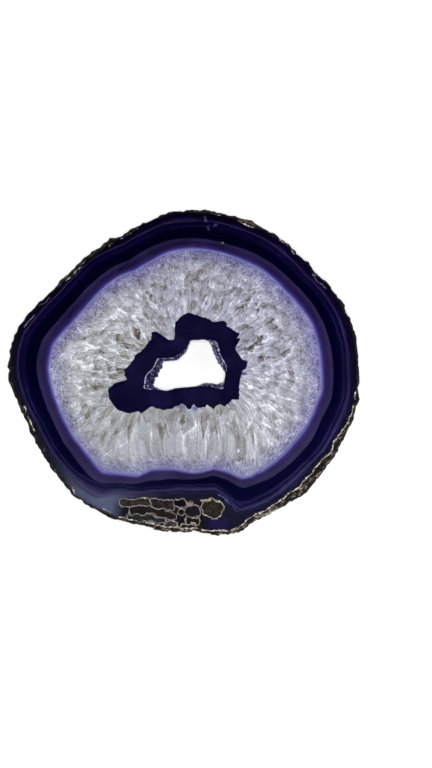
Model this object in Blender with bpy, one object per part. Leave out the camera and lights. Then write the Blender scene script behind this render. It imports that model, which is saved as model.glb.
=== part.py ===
"""A geode slice: a slab sawn out of a banded agate nodule, with an open hollow lined with small crystals.

The slab lies on its back face. +X runs to the right of the front face, +Y to its top edge and +Z out of it.
The origin is on the plane of the back face, under the middle of the slab's outline.
"""

import math

import bmesh
import bpy
import numpy as np
from mathutils import Vector, noise

MM = 0.001

# Driving dimensions, in millimetres.
THICKNESS = 6.5  # between the two sawn faces
HEART = (2.51, 0.92)  # a point in the hollow, from which every outline is measured
GAP = 0.3  # left between the stone and its crystal crust, which are two solids
CRUST_BASE = 0.5  # thickness of the crust under its crystals
CRYSTAL_HEIGHT = (0.35, 0.95)  # shortest and tallest crystal of the crust
CRUST_BELOW_FACE = 0.05  # the crust is ground just short of both sawn faces
LIP_DEPTH = 1.0  # thickness of the stone's lip where the hollow widens below the front face
RIND_BULGE = 0.8  # how far the rind swells past the sawn edges, between the two faces
RIND_LUMP_SIZE = 4.2  # across one lump of the rind
RIND_LUMP_HEIGHT = 0.8
RIND_GRAIN_SIZE = 1.9  # across the small pits and ridges on the lumps
RIND_GRAIN_HEIGHT = 0.5
RIND_INSET = 0.3  # the mean rind lies this far inside its outline, which only the lumps reach
EDGE_CALM = 0.4  # share of that roughness which is left at the two sawn edges

# Outlines: angle in degrees, anticlockwise from +X round HEART, and radius in millimetres.
# The outline of the rind, in a view straight down on the front face.
FACE_RIM = [
    (-180, 67.3), (-175, 66.9), (-170, 64.8), (-162, 63.6), (-153, 62.8), (-145, 62.7), (-137, 63.1),
    (-132, 64.0), (-125, 62.9), (-118, 62.0), (-112, 61.2), (-105, 60.1), (-98, 60.3), (-90, 60.0),
    (-84, 61.1), (-78, 62.2), (-72, 62.4), (-68, 60.2), (-60, 60.3), (-50, 60.1), (-47, 61.0),
    (-43, 60.3), (-35, 60.4), (-31, 61.4), (-26, 61.1), (-21, 62.3), (-14, 63.1), (-8, 63.2),
    (0, 62.8), (10, 62.6), (20, 62.2), (28, 61.3), (33, 60.7), (37, 59.6), (43, 59.2), (50, 59.4),
    (58, 59.8), (67, 59.4), (76, 59.4), (86, 59.6), (94, 59.5), (99, 59.3), (103, 58.3), (110, 57.3),
    (114, 56.4), (118, 56.1), (121, 57.1), (125, 56.2), (135, 56.8), (142, 57.5), (148, 59.0),
    (153, 60.7), (158, 62.7), (163, 64.9), (167, 66.6), (172, 67.3), (176, 67.6),
]
# How much further out the rind stands at the back face. Below 0, it runs in under the front face.
RIND_FLARE = [
    (-180, 0.3), (-171, 1.1), (-166, 0.4), (-150, 0.8), (-138, 0.2), (-115, 0.5), (-104, 0.2),
    (-95, 0.4), (-88, 0.0), (-80, 0.7), (-70, 1.6), (-58, 1.8), (-52, 2.8), (-38, 2.8), (-31, 1.7),
    (-25, 1.9), (-19, 0.9), (-12, 0.6), (-5, -0.3), (10, 0.2), (22, 0.0), (32, -0.9), (46, -1.1),
    (58, 0.1), (70, 0.7), (80, 0.6), (90, -0.3), (100, -0.8), (113, -1.0), (120, 0.6), (125, 0.3),
    (129, 1.4), (140, 1.0), (149, 0.1), (158, -1.2), (170, -0.8),
]
# The edge of the hollow in the front face.
HOLLOW_RIM = [
    (-180, 14.1), (-176, 15.5), (-172, 16.5), (-162, 17.6), (-158.5, 18.3), (-155, 16.6), (-151, 14.8),
    (-147, 13.1), (-142, 12.2), (-137, 11.3), (-134, 10.0), (-130, 8.7), (-125, 8.0), (-115, 7.0),
    (-105, 6.5), (-90, 6.1), (-78, 6.1), (-68, 6.4), (-58, 6.8), (-50, 7.4), (-45, 8.1), (-40, 9.1),
    (-35, 10.7), (-32, 12.6), (-30, 14.1), (-27, 13.5), (-22, 13.2), (-15, 13.0), (-5, 13.0), (0, 13.3),
    (5, 13.5), (10, 13.1), (18, 12.6), (27, 12.4), (35, 13.0), (40, 13.4), (45, 14.1), (50, 13.9),
    (54, 13.3), (58, 12.6), (66, 12.2), (75, 11.3), (85, 10.9), (90, 10.7), (94, 9.3), (98, 8.1),
    (104, 7.3), (112, 6.8), (120, 6.7), (130, 7.0), (140, 7.4), (146, 7.9), (151, 8.9), (155, 10.0),
    (158, 11.5), (160.5, 12.5), (166, 12.8), (173, 13.1),
]
# What stays open through the slab: the inner ends of the crystals at the back face.
HOLLOW_WAIST = [
    (-180, 10.4), (-175, 10.7), (-170, 11.3), (-165, 12.8), (-158, 14.4), (-154, 14.1), (-150, 13.5),
    (-145, 12.9), (-137, 11.4), (-134, 10.1), (-130, 8.8), (-125, 8.1), (-115, 7.1), (-105, 6.6),
    (-90, 6.2), (-75, 6.2), (-60, 6.3), (-50, 6.5), (-42, 7.2), (-35, 8.3), (-30, 9.8), (-26, 11.5),
    (-23, 12.8), (-15, 13.1), (-6, 13.0), (0, 12.2), (5, 11.5), (10, 10.5), (16, 10.1), (33, 10.1),
    (40, 10.5), (46, 11.2), (52, 12.0), (58, 12.5), (66, 12.4), (75, 11.6), (85, 11.1), (90, 10.8),
    (94, 9.2), (98, 7.8), (104, 6.7), (112, 6.0), (125, 5.7), (138, 5.7), (146, 6.2), (151, 7.0),
    (156, 8.5), (160, 9.8), (166, 10.0), (174, 10.0),
]

# How finely the shapes are cut into faces.
RIM_STEPS = 300
RIND_LEVELS = (1.0, 0.9, 0.72, 0.5, 0.28, 0.1, 0.0)  # shares of the thickness, front to back
HOLLOW_STEPS = 120  # a multiple of 3, so that the hexagons of the crust close round the hollow
HOLLOW_LEVELS = (1.0, 0.85, 0.5, 0.0)
CRYSTAL_ROWS = 6
CRYSTAL_JITTER = 0.22  # of the spacing between the crystals' corners
CRYSTAL_SEED = 7


def around(knots, angles, rounding=1.0):
    """Radius at each angle: straight runs between the knots, rounded by a mean over a few degrees."""
    at, radii = np.array(knots, float).T
    shifts = np.linspace(-rounding, rounding, 5)
    return np.mean([np.interp(angles + shift, at, radii, period=360) for shift in shifts], axis=0)


def place(angle, radius, height):
    """A point in metres, from an angle round HEART in degrees and a radius and a height in millimetres."""
    turn = math.radians(angle)
    x = HEART[0] + radius * math.cos(turn)
    y = HEART[1] + radius * math.sin(turn)
    return Vector((x * MM, y * MM, height * MM))


def rough(angle, radius, height, size):
    """Smooth noise from about -1 to 1, whose lumps are as many millimetres across as size says."""
    turn = math.radians(angle)
    return noise.noise(Vector((radius * math.cos(turn), radius * math.sin(turn), height)) / size)


def rind_radius(angle, rim, flare, level):
    """Radius of the rind at a share of the thickness: a flare and a swelling, with lumps and grain on them."""
    height = level * THICKNESS
    swell = 4 * level * (1 - level)
    lumps = RIND_LUMP_HEIGHT * rough(angle, rim, height, RIND_LUMP_SIZE)
    grain = RIND_GRAIN_HEIGHT * rough(angle, rim, height, RIND_GRAIN_SIZE)
    roughness = (lumps + grain) * (EDGE_CALM + (1 - EDGE_CALM) * swell)
    return rim - RIND_INSET + flare * (1 - level) + RIND_BULGE * (swell - 1) + roughness


def hollow_angles():
    """Angles round the hollow that cut its rim into equal lengths."""
    fine = np.arange(-180.0, 180.0, 0.25)
    radii = around(HOLLOW_RIM, fine)
    x = radii * np.cos(np.radians(fine))
    y = radii * np.sin(np.radians(fine))
    lengths = np.hypot(np.roll(x, -1) - x, np.roll(y, -1) - y)
    along = np.concatenate([[0.0], np.cumsum(lengths)])
    wanted = np.arange(HOLLOW_STEPS) * along[-1] / HOLLOW_STEPS
    return np.interp(wanted, along, np.append(fine, 180.0))


def lean(rim, waist):
    """How far the stone's wall leans into the hollow at the back. Below 0, it runs outwards under a lip."""
    return rim - waist - (GAP + CRUST_BASE + CRYSTAL_HEIGHT[1])


def crust_top(rim, waist):
    """Height of the crust's top: near the front face on a wall that leans in, and below the stone's lip."""
    drop = -2 * lean(rim, waist)
    return THICKNESS - min(max(drop, CRUST_BELOW_FACE), LIP_DEPTH + GAP)


def wall_radius(rim, waist, level):
    """Radius of the stone's wall in the hollow: an even slope, or a lip with an undercut below it."""
    depth = 1 - level
    inward = lean(rim, waist)
    if inward > 0:
        return rim - inward * depth
    return rim - inward * min(1.0, depth * THICKNESS / LIP_DEPTH)


def add_ring(bm, points):
    """Adds a closed ring of vertices."""
    return [bm.verts.new(point) for point in points]


def bridge(bm, first, second):
    """Joins two rings of equal length with quads, whose normals follow from the order of the rings."""
    for i in range(len(first)):
        j = (i + 1) % len(first)
        bm.faces.new((first[i], first[j], second[j], second[i]))


def ring_edges(bm, ring):
    """The edges that run round a ring."""
    return [bm.edges.get((ring[i - 1], ring[i])) for i in range(len(ring))]


def fill_between(bm, outer, inner):
    """Closes the flat face between an outer and an inner ring."""
    edges = ring_edges(bm, outer) + ring_edges(bm, inner)
    bmesh.ops.triangle_fill(bm, use_beauty=True, use_dissolve=False, edges=edges)


def make_material(name, colour, roughness, transmission=0.0):
    """A Principled BSDF in one colour, for stone and crystal."""
    material = bpy.data.materials.new(name)
    material.use_nodes = True
    shader = material.node_tree.nodes["Principled BSDF"]
    shader.inputs["Base Color"].default_value = (*colour, 1.0)
    shader.inputs["Roughness"].default_value = roughness
    shader.inputs["Metallic"].default_value = 0.0
    shader.inputs["Transmission Weight"].default_value = transmission
    material.diffuse_color = (*colour, 1.0)
    return material


def make_object(name, bm, material):
    """Turns a finished bmesh into an object of the scene, with its faces pointing out."""
    bmesh.ops.triangulate(bm, faces=bm.faces[:])
    bmesh.ops.recalc_face_normals(bm, faces=bm.faces[:])
    mesh = bpy.data.meshes.new(name)
    bm.to_mesh(mesh)
    bm.free()
    mesh.materials.append(material)
    made = bpy.data.objects.new(name, mesh)
    bpy.context.scene.collection.objects.link(made)
    return made


def make_slice():
    """The stone: two flat sawn faces, a rough rind round the outside and a bare wall in the hollow."""
    bm = bmesh.new()
    angles = np.arange(RIM_STEPS) * 360 / RIM_STEPS - 180
    rims = around(FACE_RIM, angles)
    flares = around(RIND_FLARE, angles)
    rind = []
    for level in RIND_LEVELS:
        radii = [rind_radius(a, rim, flare, level) for a, rim, flare in zip(angles, rims, flares)]
        rind.append(add_ring(bm, [place(a, r, level * THICKNESS) for a, r in zip(angles, radii)]))
    for upper, lower in zip(rind, rind[1:]):
        bridge(bm, upper, lower)

    angles = hollow_angles()
    rims = around(HOLLOW_RIM, angles)
    waists = around(HOLLOW_WAIST, angles)
    wall = []
    for level in HOLLOW_LEVELS:
        radii = [wall_radius(rim, waist, level) for rim, waist in zip(rims, waists)]
        wall.append(add_ring(bm, [place(a, r, level * THICKNESS) for a, r in zip(angles, radii)]))
    for upper, lower in zip(wall, wall[1:]):
        bridge(bm, lower, upper)

    fill_between(bm, rind[0], wall[0])
    fill_between(bm, rind[-1], wall[-1])
    return make_object("slice", bm, make_material("dyed_agate", (0.045, 0.025, 0.16), 0.15))


def hexagon_strip(bm, upper, lower, shifted):
    """Two triangles for each step between two rows of the lattice, split so that all are near equal-sided."""
    for i in range(len(upper)):
        j = (i + 1) % len(upper)
        if shifted:
            bm.faces.new((upper[i], upper[j], lower[j]))
            bm.faces.new((upper[i], lower[j], lower[i]))
        else:
            bm.faces.new((upper[i], upper[j], lower[i]))
            bm.faces.new((upper[j], lower[j], lower[i]))


def crystal_heights():
    """How far each corner of the crust stands up. On a lattice of triangles every third corner is a crystal's
    tip, so that the six triangles round it are the six flat faces of its point."""
    chance = np.random.default_rng(CRYSTAL_SEED)
    low, high = CRYSTAL_HEIGHT
    heights = np.zeros((CRYSTAL_ROWS + 1, HOLLOW_STEPS))
    for row in range(CRYSTAL_ROWS + 1):
        for step in range(HOLLOW_STEPS):
            if (step - row // 2 - row) % 3 == 0:
                heights[row, step] = chance.uniform(low, high)
    return heights


def make_crust():
    """The crystals that line the hollow: one closed ring, smooth against the stone and pointed inside."""
    bm = bmesh.new()
    chance = np.random.default_rng(CRYSTAL_SEED + 1)
    angles = hollow_angles()
    rims = around(HOLLOW_RIM, angles)
    waists = around(HOLLOW_WAIST, angles)
    tops = [crust_top(rim, waist) for rim, waist in zip(rims, waists)]
    spacing = 360 / HOLLOW_STEPS

    back = []
    for share in (1.0, 0.5, 0.0):
        points = []
        for i, angle in enumerate(angles):
            height = CRUST_BELOW_FACE + share * (tops[i] - CRUST_BELOW_FACE)
            radius = wall_radius(rims[i], waists[i], height / THICKNESS) - GAP
            points.append(place(angle, radius, height))
        back.append(add_ring(bm, points))
    for upper, lower in zip(back, back[1:]):
        bridge(bm, lower, upper)

    raised = crystal_heights()
    front = []
    for row in range(CRYSTAL_ROWS + 1):
        share = 1 - row / CRYSTAL_ROWS
        inside = 0 < row < CRYSTAL_ROWS
        points = []
        for i, angle in enumerate(angles):
            height = CRUST_BELOW_FACE + share * (tops[i] - CRUST_BELOW_FACE)
            radius = wall_radius(rims[i], waists[i], height / THICKNESS) - GAP - CRUST_BASE - raised[row, i]
            shift = 0.5 * (row % 2) * spacing
            if inside:
                shift += chance.uniform(-CRYSTAL_JITTER, CRYSTAL_JITTER) * spacing
                height += chance.uniform(-CRYSTAL_JITTER, CRYSTAL_JITTER) * THICKNESS / CRYSTAL_ROWS
            points.append(place(angle + shift, radius, height))
        front.append(add_ring(bm, points))
    for row, (upper, lower) in enumerate(zip(front, front[1:])):
        hexagon_strip(bm, upper, lower, row % 2)

    bridge(bm, front[0], back[0])
    bridge(bm, back[-1], front[-1])
    return make_object("druzy_crust", bm, make_material("dyed_quartz_crystals", (0.12, 0.05, 0.42), 0.1, 0.2))


def main():
    for old in list(bpy.data.objects):
        bpy.data.objects.remove(old, do_unlink=True)
    make_slice()
    make_crust()


main()
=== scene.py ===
# %% [markdown]
# A geode slice is a slab sawn out of an agate nodule and polished on both sides. From the outside in it has a
# rough rind, banded agate dyed violet, a wide belt of coarse quartz, a dark ring and an open hollow that is
# lined with small crystals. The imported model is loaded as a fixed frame, and every piece is fitted to it.

# %% The frame
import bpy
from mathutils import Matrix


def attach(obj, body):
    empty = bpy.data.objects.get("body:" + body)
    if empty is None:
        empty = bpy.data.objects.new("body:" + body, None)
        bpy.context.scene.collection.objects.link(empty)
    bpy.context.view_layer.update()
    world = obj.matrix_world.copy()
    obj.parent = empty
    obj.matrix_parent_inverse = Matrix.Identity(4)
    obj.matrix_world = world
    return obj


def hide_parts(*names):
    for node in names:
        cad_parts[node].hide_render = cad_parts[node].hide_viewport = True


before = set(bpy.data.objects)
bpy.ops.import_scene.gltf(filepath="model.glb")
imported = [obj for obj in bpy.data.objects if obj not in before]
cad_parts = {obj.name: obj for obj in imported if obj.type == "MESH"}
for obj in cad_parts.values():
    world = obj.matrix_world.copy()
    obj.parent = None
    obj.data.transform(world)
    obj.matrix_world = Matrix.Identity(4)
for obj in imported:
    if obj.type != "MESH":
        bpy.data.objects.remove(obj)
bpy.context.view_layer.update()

# %% [markdown]
# The whole slab is measured as the cutter would: every outline is a radius in millimetres at an angle round a
# point in the hollow. That point and the thickness are the two numbers that the pieces share.

# %% Shared measures and helpers
import itertools
import math

import bpy
import numpy as np

MM = 0.001
THICKNESS = 6.5
HEART = np.array([2.51, 0.92])


def around(knots, angles, rounding=1.0):
    """Radius at each angle: straight runs between the knots, rounded by a mean over a few degrees."""
    at, values = np.array(knots, float).T
    shifts = np.linspace(-rounding, rounding, 5)
    return np.mean([np.interp(angles + shift, at, values, period=360) for shift in shifts], axis=0)


def smooth(low, high, value):
    """A soft step from 0 at low to 1 at high: t*t*(3 - 2t), where t is the share of the way."""
    t = np.clip((value - low) / (high - low), 0, 1)
    return t * t * (3 - 2 * t)


LATTICE = np.random.default_rng(11).uniform(-1, 1, (32, 32, 32))


def lumps(points, size):
    """Smooth noise from -1 to 1: random numbers on a lattice with steps of this size, blended between."""
    cell = points / size
    low = np.floor(cell).astype(int)
    t = cell - low
    t = t * t * (3 - 2 * t)
    total = 0
    for corner in itertools.product((0, 1), repeat=3):
        weight = np.prod(np.where(corner, t, 1 - t), axis=-1)
        i, j, k = np.moveaxis((low + corner) % len(LATTICE), -1, 0)
        total = total + weight * LATTICE[i, j, k]
    return total


# %% [markdown]
# The sawn stone itself has to stay where the solid is, so its outer skin and the wall of its hollow are read
# from the frame. The corners of the solid lie on level rings, and each ring gives a radius at any angle.

# %% Rings of the solid
def corners_of(node):
    """The corners of a node in millimetres, as angle round the heart, radius and height."""
    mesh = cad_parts[node].data
    flat = np.empty(len(mesh.vertices) * 3, np.float32)
    mesh.vertices.foreach_get("co", flat)
    x, y, z = (flat.reshape(-1, 3) / MM).T
    x, y = x - HEART[0], y - HEART[1]
    return np.degrees(np.arctan2(y, x)), np.hypot(x, y), z


def ring_of(corners, level, nearest, farthest, angles):
    """Radius at each angle of the ring at one height, from the corners between two radii."""
    angle, radius, z = corners
    kept = (np.abs(z - level) < 0.02) & (radius > nearest) & (radius < farthest)
    order = np.argsort(angle[kept])
    return np.interp(angles, angle[kept][order], radius[kept][order], period=360)


def at_heights(rings, levels, heights):
    """Radii at any heights, by straight runs between rings known at a few levels. Heights are one for
    each column of the rings, or a column of their own for a whole new ring each."""
    place = np.interp(heights, levels, np.arange(len(levels)))
    below = np.minimum(place.astype(int), len(levels) - 2)
    share = place - below
    column = np.arange(rings.shape[1])
    return rings[below, column] * (1 - share) + rings[below + 1, column] * share


stone = corners_of("slice")
RIND_LEVELS = THICKNESS * np.array([0.0, 0.1, 0.28, 0.5, 0.72, 0.9, 1.0])
RIND_SPAN = (40, 90)  # the radii between which the corners of the rind lie
WALL_LEVELS = THICKNESS * np.array([0.0, 0.5, 0.85, 1.0])
WALL_SPAN = (0, 25)
print("solid corners", len(stone[0]), "height", stone[2].min().round(2), stone[2].max().round(2))

# %% [markdown]
# Each layer of the agate grew on the one before it, so the zones of the cut face are nested outlines. They
# could be painted on a flat disc, but as rows of one grid they also carry the values that the materials need:
# how far through the bands a point lies, and how deep it is in the quartz. The outlines are measured ones.

# %% Outlines of the layers
LINE_OUTER = [  # the outer of two thin pale lines in the dark bands
    (-180, 64), (-170, 62.2), (-160, 59.8), (-150, 59.4), (-140, 58.8), (-134, 58.8), (-126, 57.9),
    (-121, 52.7), (-112, 49), (-108, 47), (-96, 44.3), (-86, 44.4), (-78, 44.8), (-74, 48.5), (-70.5, 55.2),
    (-67, 55.6), (-59, 56.4), (-50, 56.1), (-40, 56.2), (-30, 57.8), (-20, 58.3), (-10, 59.5), (0, 58.7),
    (10, 58.6), (20, 58.3), (30, 57), (40, 55.4), (50, 55.5), (60, 55.8), (70, 55.5), (80, 55.7),
    (90, 55.3), (100, 55), (110, 53.4), (118, 52.8), (124, 53.6), (130, 54.7), (140, 55.1), (150, 56.4),
    (160, 59.8), (168, 63.2), (175, 64),
]
LINE_GAP = [  # from that line to the inner one
    (-180, 1.9), (-140, 1.7), (-133, 3.3), (-126, 5.0), (-120, 2.9), (-112, 1.5), (-70, 1.5), (-60, 2.2),
    (-50, 1.8), (-40, 1.4), (-20, 1.8), (60, 1.8), (180, 1.9),
]
PLUM_EDGE = [  # where the near-black band turns plum
    (-180, 56.6), (-175, 55.9), (-170, 55.1), (-165, 54.6), (-160, 54.0), (-150, 53.7), (-145, 53.5),
    (-135, 54.0), (-131, 54.0), (-128, 53.3), (-125, 51.1), (-122, 49.4), (-118, 47.7), (-115, 46.4),
    (-110, 43.5), (-100, 40.7), (-85, 40.3), (-77, 39.9), (-71, 42.8), (-66, 47.7), (-58, 48.8),
    (-55, 49.6), (-40, 50.9), (-30, 51.8), (-20, 51.8), (-12, 53.3), (0, 52.9), (10, 52.7), (25, 51.8),
    (40, 50.0), (50, 49.6), (60, 49.2), (70, 48.5), (90, 48.7), (100, 48.5), (110, 47.4), (119, 46.3),
    (126, 47.4), (140, 48.5), (150, 49.6), (160, 52.2), (168, 55.5), (175, 56.6),
]
QUARTZ_EDGE = [  # where the quartz starts
    (-180, 52.5), (-175, 51.9), (-170, 51.3), (-165, 50.6), (-160, 50.2), (-155, 49.9), (-150, 49.7),
    (-145, 49.3), (-140, 49.1), (-135, 49.4), (-132, 49.6), (-130, 49.5), (-128, 48.2), (-125, 46.8),
    (-122, 45.6), (-118.7, 44.4), (-116, 43.6), (-114, 41.9), (-111, 39.5), (-105, 37.8), (-99, 37.2),
    (-93, 37.7), (-88, 38.2), (-82, 37.9), (-76, 37.6), (-70, 39.9), (-67, 42.3), (-65, 44), (-63.8, 44.6),
    (-60, 45.5), (-57.5, 45.2), (-55, 45.9), (-45, 46.3), (-35, 46.8), (-25, 47.9), (-15, 48.6), (-9, 49.6),
    (-5, 49.2), (0, 48.8), (20, 48.5), (30, 47.2), (40, 45.9), (55, 45.9), (65, 45.1), (90, 45.1),
    (100, 44.6), (110, 42.9), (119, 42.2), (126, 43.5), (135, 44.2), (145, 44.8), (150, 45.3), (155, 46.3),
    (160, 47.7), (166, 50.3), (170, 51.8), (175, 52.2),
]
TIPS = [  # the tips of the quartz crystals, where the dark ring starts
    (-180, 24.4), (-176, 24.4), (-173, 23.9), (-171, 23.5), (-170.5, 26.6), (-170, 28.9), (-168, 29.6),
    (-167, 31.1), (-165, 31.4), (-160, 31.6), (-155, 31.1), (-152, 30.7), (-150, 30.0), (-147, 28.9),
    (-145, 27.8), (-143, 25.9), (-141, 24.4), (-138, 24.4), (-137, 19.6), (-133, 19.1), (-130, 18.7),
    (-127, 18.1), (-125, 17.8), (-122, 17.4), (-120, 16.6), (-117, 16.1), (-115, 15.9), (-113, 14.8),
    (-110, 14.1), (-105, 13.1), (-100, 12.8), (-96, 13.5), (-93, 14.4), (-90, 14.8), (-88.5, 14.1),
    (-86, 12.9), (-83, 12.9), (-80, 14.2), (-73, 14.4), (-68, 14.8), (-65, 14.2), (-62, 15.2),
    (-60, 15.9), (-59, 17.0), (-57, 16.6), (-53, 16.5), (-50, 16.8), (-48, 16.8), (-47, 18.5),
    (-45, 18.7), (-40, 18.9), (-35, 18.9), (-33, 20.0), (-31, 21.3), (-27, 20.5), (-22, 19.6),
    (-17, 19.1), (-13, 18.7), (-5, 19.1), (0, 19.4), (1, 20.7), (3, 21.1), (8, 21.5), (10, 20.7),
    (12, 19.6), (15, 19.1), (20, 18.7), (26, 18.7), (28, 19.6), (31, 21.5), (33, 22.2), (34, 20.7),
    (36, 22.9), (39, 22.2), (42, 21.8), (46, 21.6), (50, 21.3), (52, 22.2), (56, 22.2), (58, 21.5),
    (60, 20.7), (62, 19.8), (66, 19.6), (70, 20.0), (75, 20.2), (80, 20.4), (85, 20.7), (90, 21.5),
    (93, 21.1), (97, 20.5), (100, 20.0), (104, 19.1), (107, 18.5), (109, 17.2), (112, 15.2),
    (115, 13.7), (118, 12.9), (120, 12.8), (123, 13.3), (126, 14.1), (128, 15.5), (130, 18.1),
    (131, 18.9), (133, 19.6), (136, 20.0), (138, 19.1), (141, 18.6), (147, 18.5), (152, 18.7),
    (157, 19.1), (160, 19.4), (163, 20.4), (165, 21.1), (168, 21.1), (171, 21.5), (174, 22.2),
    (177, 23.3),
]
LEAN = [  # degrees by which the quartz columns lean sideways on their way in
    (-170, 0), (-150, -8), (-135, -16), (-125, -22), (-110, -30), (-100, -21), (-90, 0), (-80, 18),
    (-70, 26), (-60, 27), (-50, 24), (-40, 21), (-20, 10), (0, 0), (90, 0), (180, 0),
]

# %% [markdown]
# The stone is one closed surface: a profile that runs in across the front face, down the wall of the hollow,
# out across the back face and up the rind, carried once round the slab. Columns stand closer together at the
# bottom, where an inclusion has small cells. Each row is one outline, or lies between two of them.

# %% Columns and rows of the stone
COLUMNS = 840
CROWDED = (-98, 30, 0.6)  # where columns stand closer: middle and spread in degrees, and how much closer
CHAMFER = 0.12  # the saw's sharp edge is rubbed down by this much
FRONT_ROWS = (7, 3, 5, 6, 40, 6)  # rows in the four zones of the bands, in the quartz and in the dark ring
BACK_ROWS = (3, 2, 2, 3, 12, 3)
WALL_ROWS, RIND_ROWS = 9, 15
BAND_WIDTH = 13.7  # all the bands together, where they are neither crowded nor spread
BAND_AT = (0.0, 0.27, 0.395, 0.72, 1.0)  # band value on the rim and on the four outlines inside it
LEAST_BAND = 0.1  # the band value outside the pale lines goes no lower than this, save near the rim
EDGE_OUT = 0.15  # the sawn edge lies this far outside the solid's
EDGE_NOISE = ((0.22, 60, 1.3), (0.16, 40, 0.6))  # height, radius of the circle it is read on, size of lumps
TIP_NOISE = ((0.22, 20, 0.8), (0.14, 20, 0.35))

degrees_round = np.linspace(-180, 180, 2001)
middle, wide, closer = CROWDED
crowding = 1 + closer * np.exp(-((degrees_round - middle) / wide) ** 2)
run = np.concatenate([[0], np.cumsum((crowding[1:] + crowding[:-1]) / 2)])
start = np.interp(np.arange(COLUMNS) / COLUMNS * run[-1], run, degrees_round)
end = start + around(LEAN, start, 4.0)

rind_rings = np.array([ring_of(stone, level, *RIND_SPAN, start) for level in RIND_LEVELS])
wall_rings = np.array([ring_of(stone, level, *WALL_SPAN, end) for level in WALL_LEVELS])


def unrest(angles, noises):
    """Sum of smooth noises round a circle, from rows of height, radius of the circle and size of lumps."""
    turn = np.radians(angles)
    circle = np.stack([np.cos(turn), np.sin(turn), 0 * turn], -1)
    return sum(tall * lumps(radius * circle, size) for tall, radius, size in noises)


def face_rows(rim, hollow, height, counts):
    """Rows of a sawn face from its rim to its hollow: zone, angle, radius, height, band and quartz share.
    Rows between two outlines take both, weighted by the share of the way. In the quartz they start as smooth
    rings and take the crystals' ragged tips on late, with the fourth power of the share."""
    outer = around(LINE_OUTER, start)
    inner = outer - around(LINE_GAP, start)
    plum, quartz = around(PLUM_EDGE, start), around(QUARTZ_EDGE, start)
    tips = around(TIPS, end, 0.4) + unrest(end, TIP_NOISE)
    soft_tips = around(TIPS, end, 9.0)
    outlines = [rim, outer, inner, plum, quartz]
    rows = []
    for zone, count in enumerate(counts[:4]):
        for share in np.linspace(0, 1, count, endpoint=False):
            radius = outlines[zone] * (1 - share) + outlines[zone + 1] * share
            band = BAND_AT[zone] * (1 - share) + BAND_AT[zone + 1] * share
            if zone == 0:
                near_line = np.maximum(LEAST_BAND, BAND_AT[1] - (radius - outer) / BAND_WIDTH)
                band = np.minimum((rim - radius) / BAND_WIDTH, near_line)
            rows.append(("agate", start, radius, height, band, 0.0))
    for share in np.linspace(0, 1, counts[4], endpoint=False):
        radius = quartz + (soft_tips - quartz) * share + (tips - soft_tips) * share**4
        rows.append(("quartz", start + (end - start) * share, radius, height, 1.0, share))
    for share in np.linspace(0, 1, counts[5]):
        rows.append(("ring", end, tips * (1 - share) + hollow * share, height, 1.0, 1.0))
    return rows


def side_rows(zone, angles, rings, levels, heights, value):
    """Rows of a side of the slab, from the solid's rings, with one value for both band and quartz share."""
    radii = at_heights(rings, levels, heights[:, None])
    return [(zone, angles, radius, height, value, value) for radius, height in zip(radii, heights)]


ragged = EDGE_OUT + unrest(start, EDGE_NOISE)
front = face_rows(rind_rings[-1] + ragged - CHAMFER, wall_rings[-1] + CHAMFER, THICKNESS, FRONT_ROWS)
back = face_rows(rind_rings[0] + ragged - CHAMFER, wall_rings[0] + CHAMFER, 0.0, BACK_ROWS)[::-1]
wall_heights = np.linspace(THICKNESS - CHAMFER, CHAMFER, WALL_ROWS)
wall = side_rows("wall", end, wall_rings, WALL_LEVELS, wall_heights, 1.0)
rind_heights = np.linspace(CHAMFER, THICKNESS - CHAMFER, RIND_ROWS)
rind = side_rows("rind", start, rind_rings + ragged, RIND_LEVELS, rind_heights, 0.0)
rows = front + wall + back + rind
print("stone grid", len(rows), "rows x", COLUMNS, "columns =", 2 * len(rows) * COLUMNS, "triangles")

# %% [markdown]
# The rind is the old outside of the nodule: lumpy, pitted skin that never saw the saw. The solid has its big
# lumps, and finer ones are pushed out here, fading at the two cut edges. The faces stay dead flat.

# %% Points of the stone
FINE_LUMPS = ((1.9, 0.26), (1.0, 0.2))  # size and height

zones = np.array([row[0] for row in rows])
angle = np.radians(np.array([row[1] for row in rows]))
radius = np.array([row[2] for row in rows])
height = np.array([np.full(COLUMNS, row[3]) for row in rows])
band = np.array([row[4] + 0 * start for row in rows])
quartz_share = np.array([row[5] + 0 * start for row in rows])


def in_space(angle, radius, height):
    """Points in millimetres: the heart plus the radius along the angle, at the height."""
    return np.stack([HEART[0] + radius * np.cos(angle), HEART[1] + radius * np.sin(angle), height], -1)


rough_rows = zones == "rind"
points = in_space(angle, radius, height)
swell = 4 * (height / THICKNESS) * (1 - height / THICKNESS)
for size, tall in FINE_LUMPS:
    radius = radius + np.where(rough_rows[:, None], tall * swell * lumps(points, size), 0)
points = in_space(angle, radius, height)
print("stone spans", (np.ptp(points.reshape(-1, 3), axis=0)).round(2), "mm")
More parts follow.
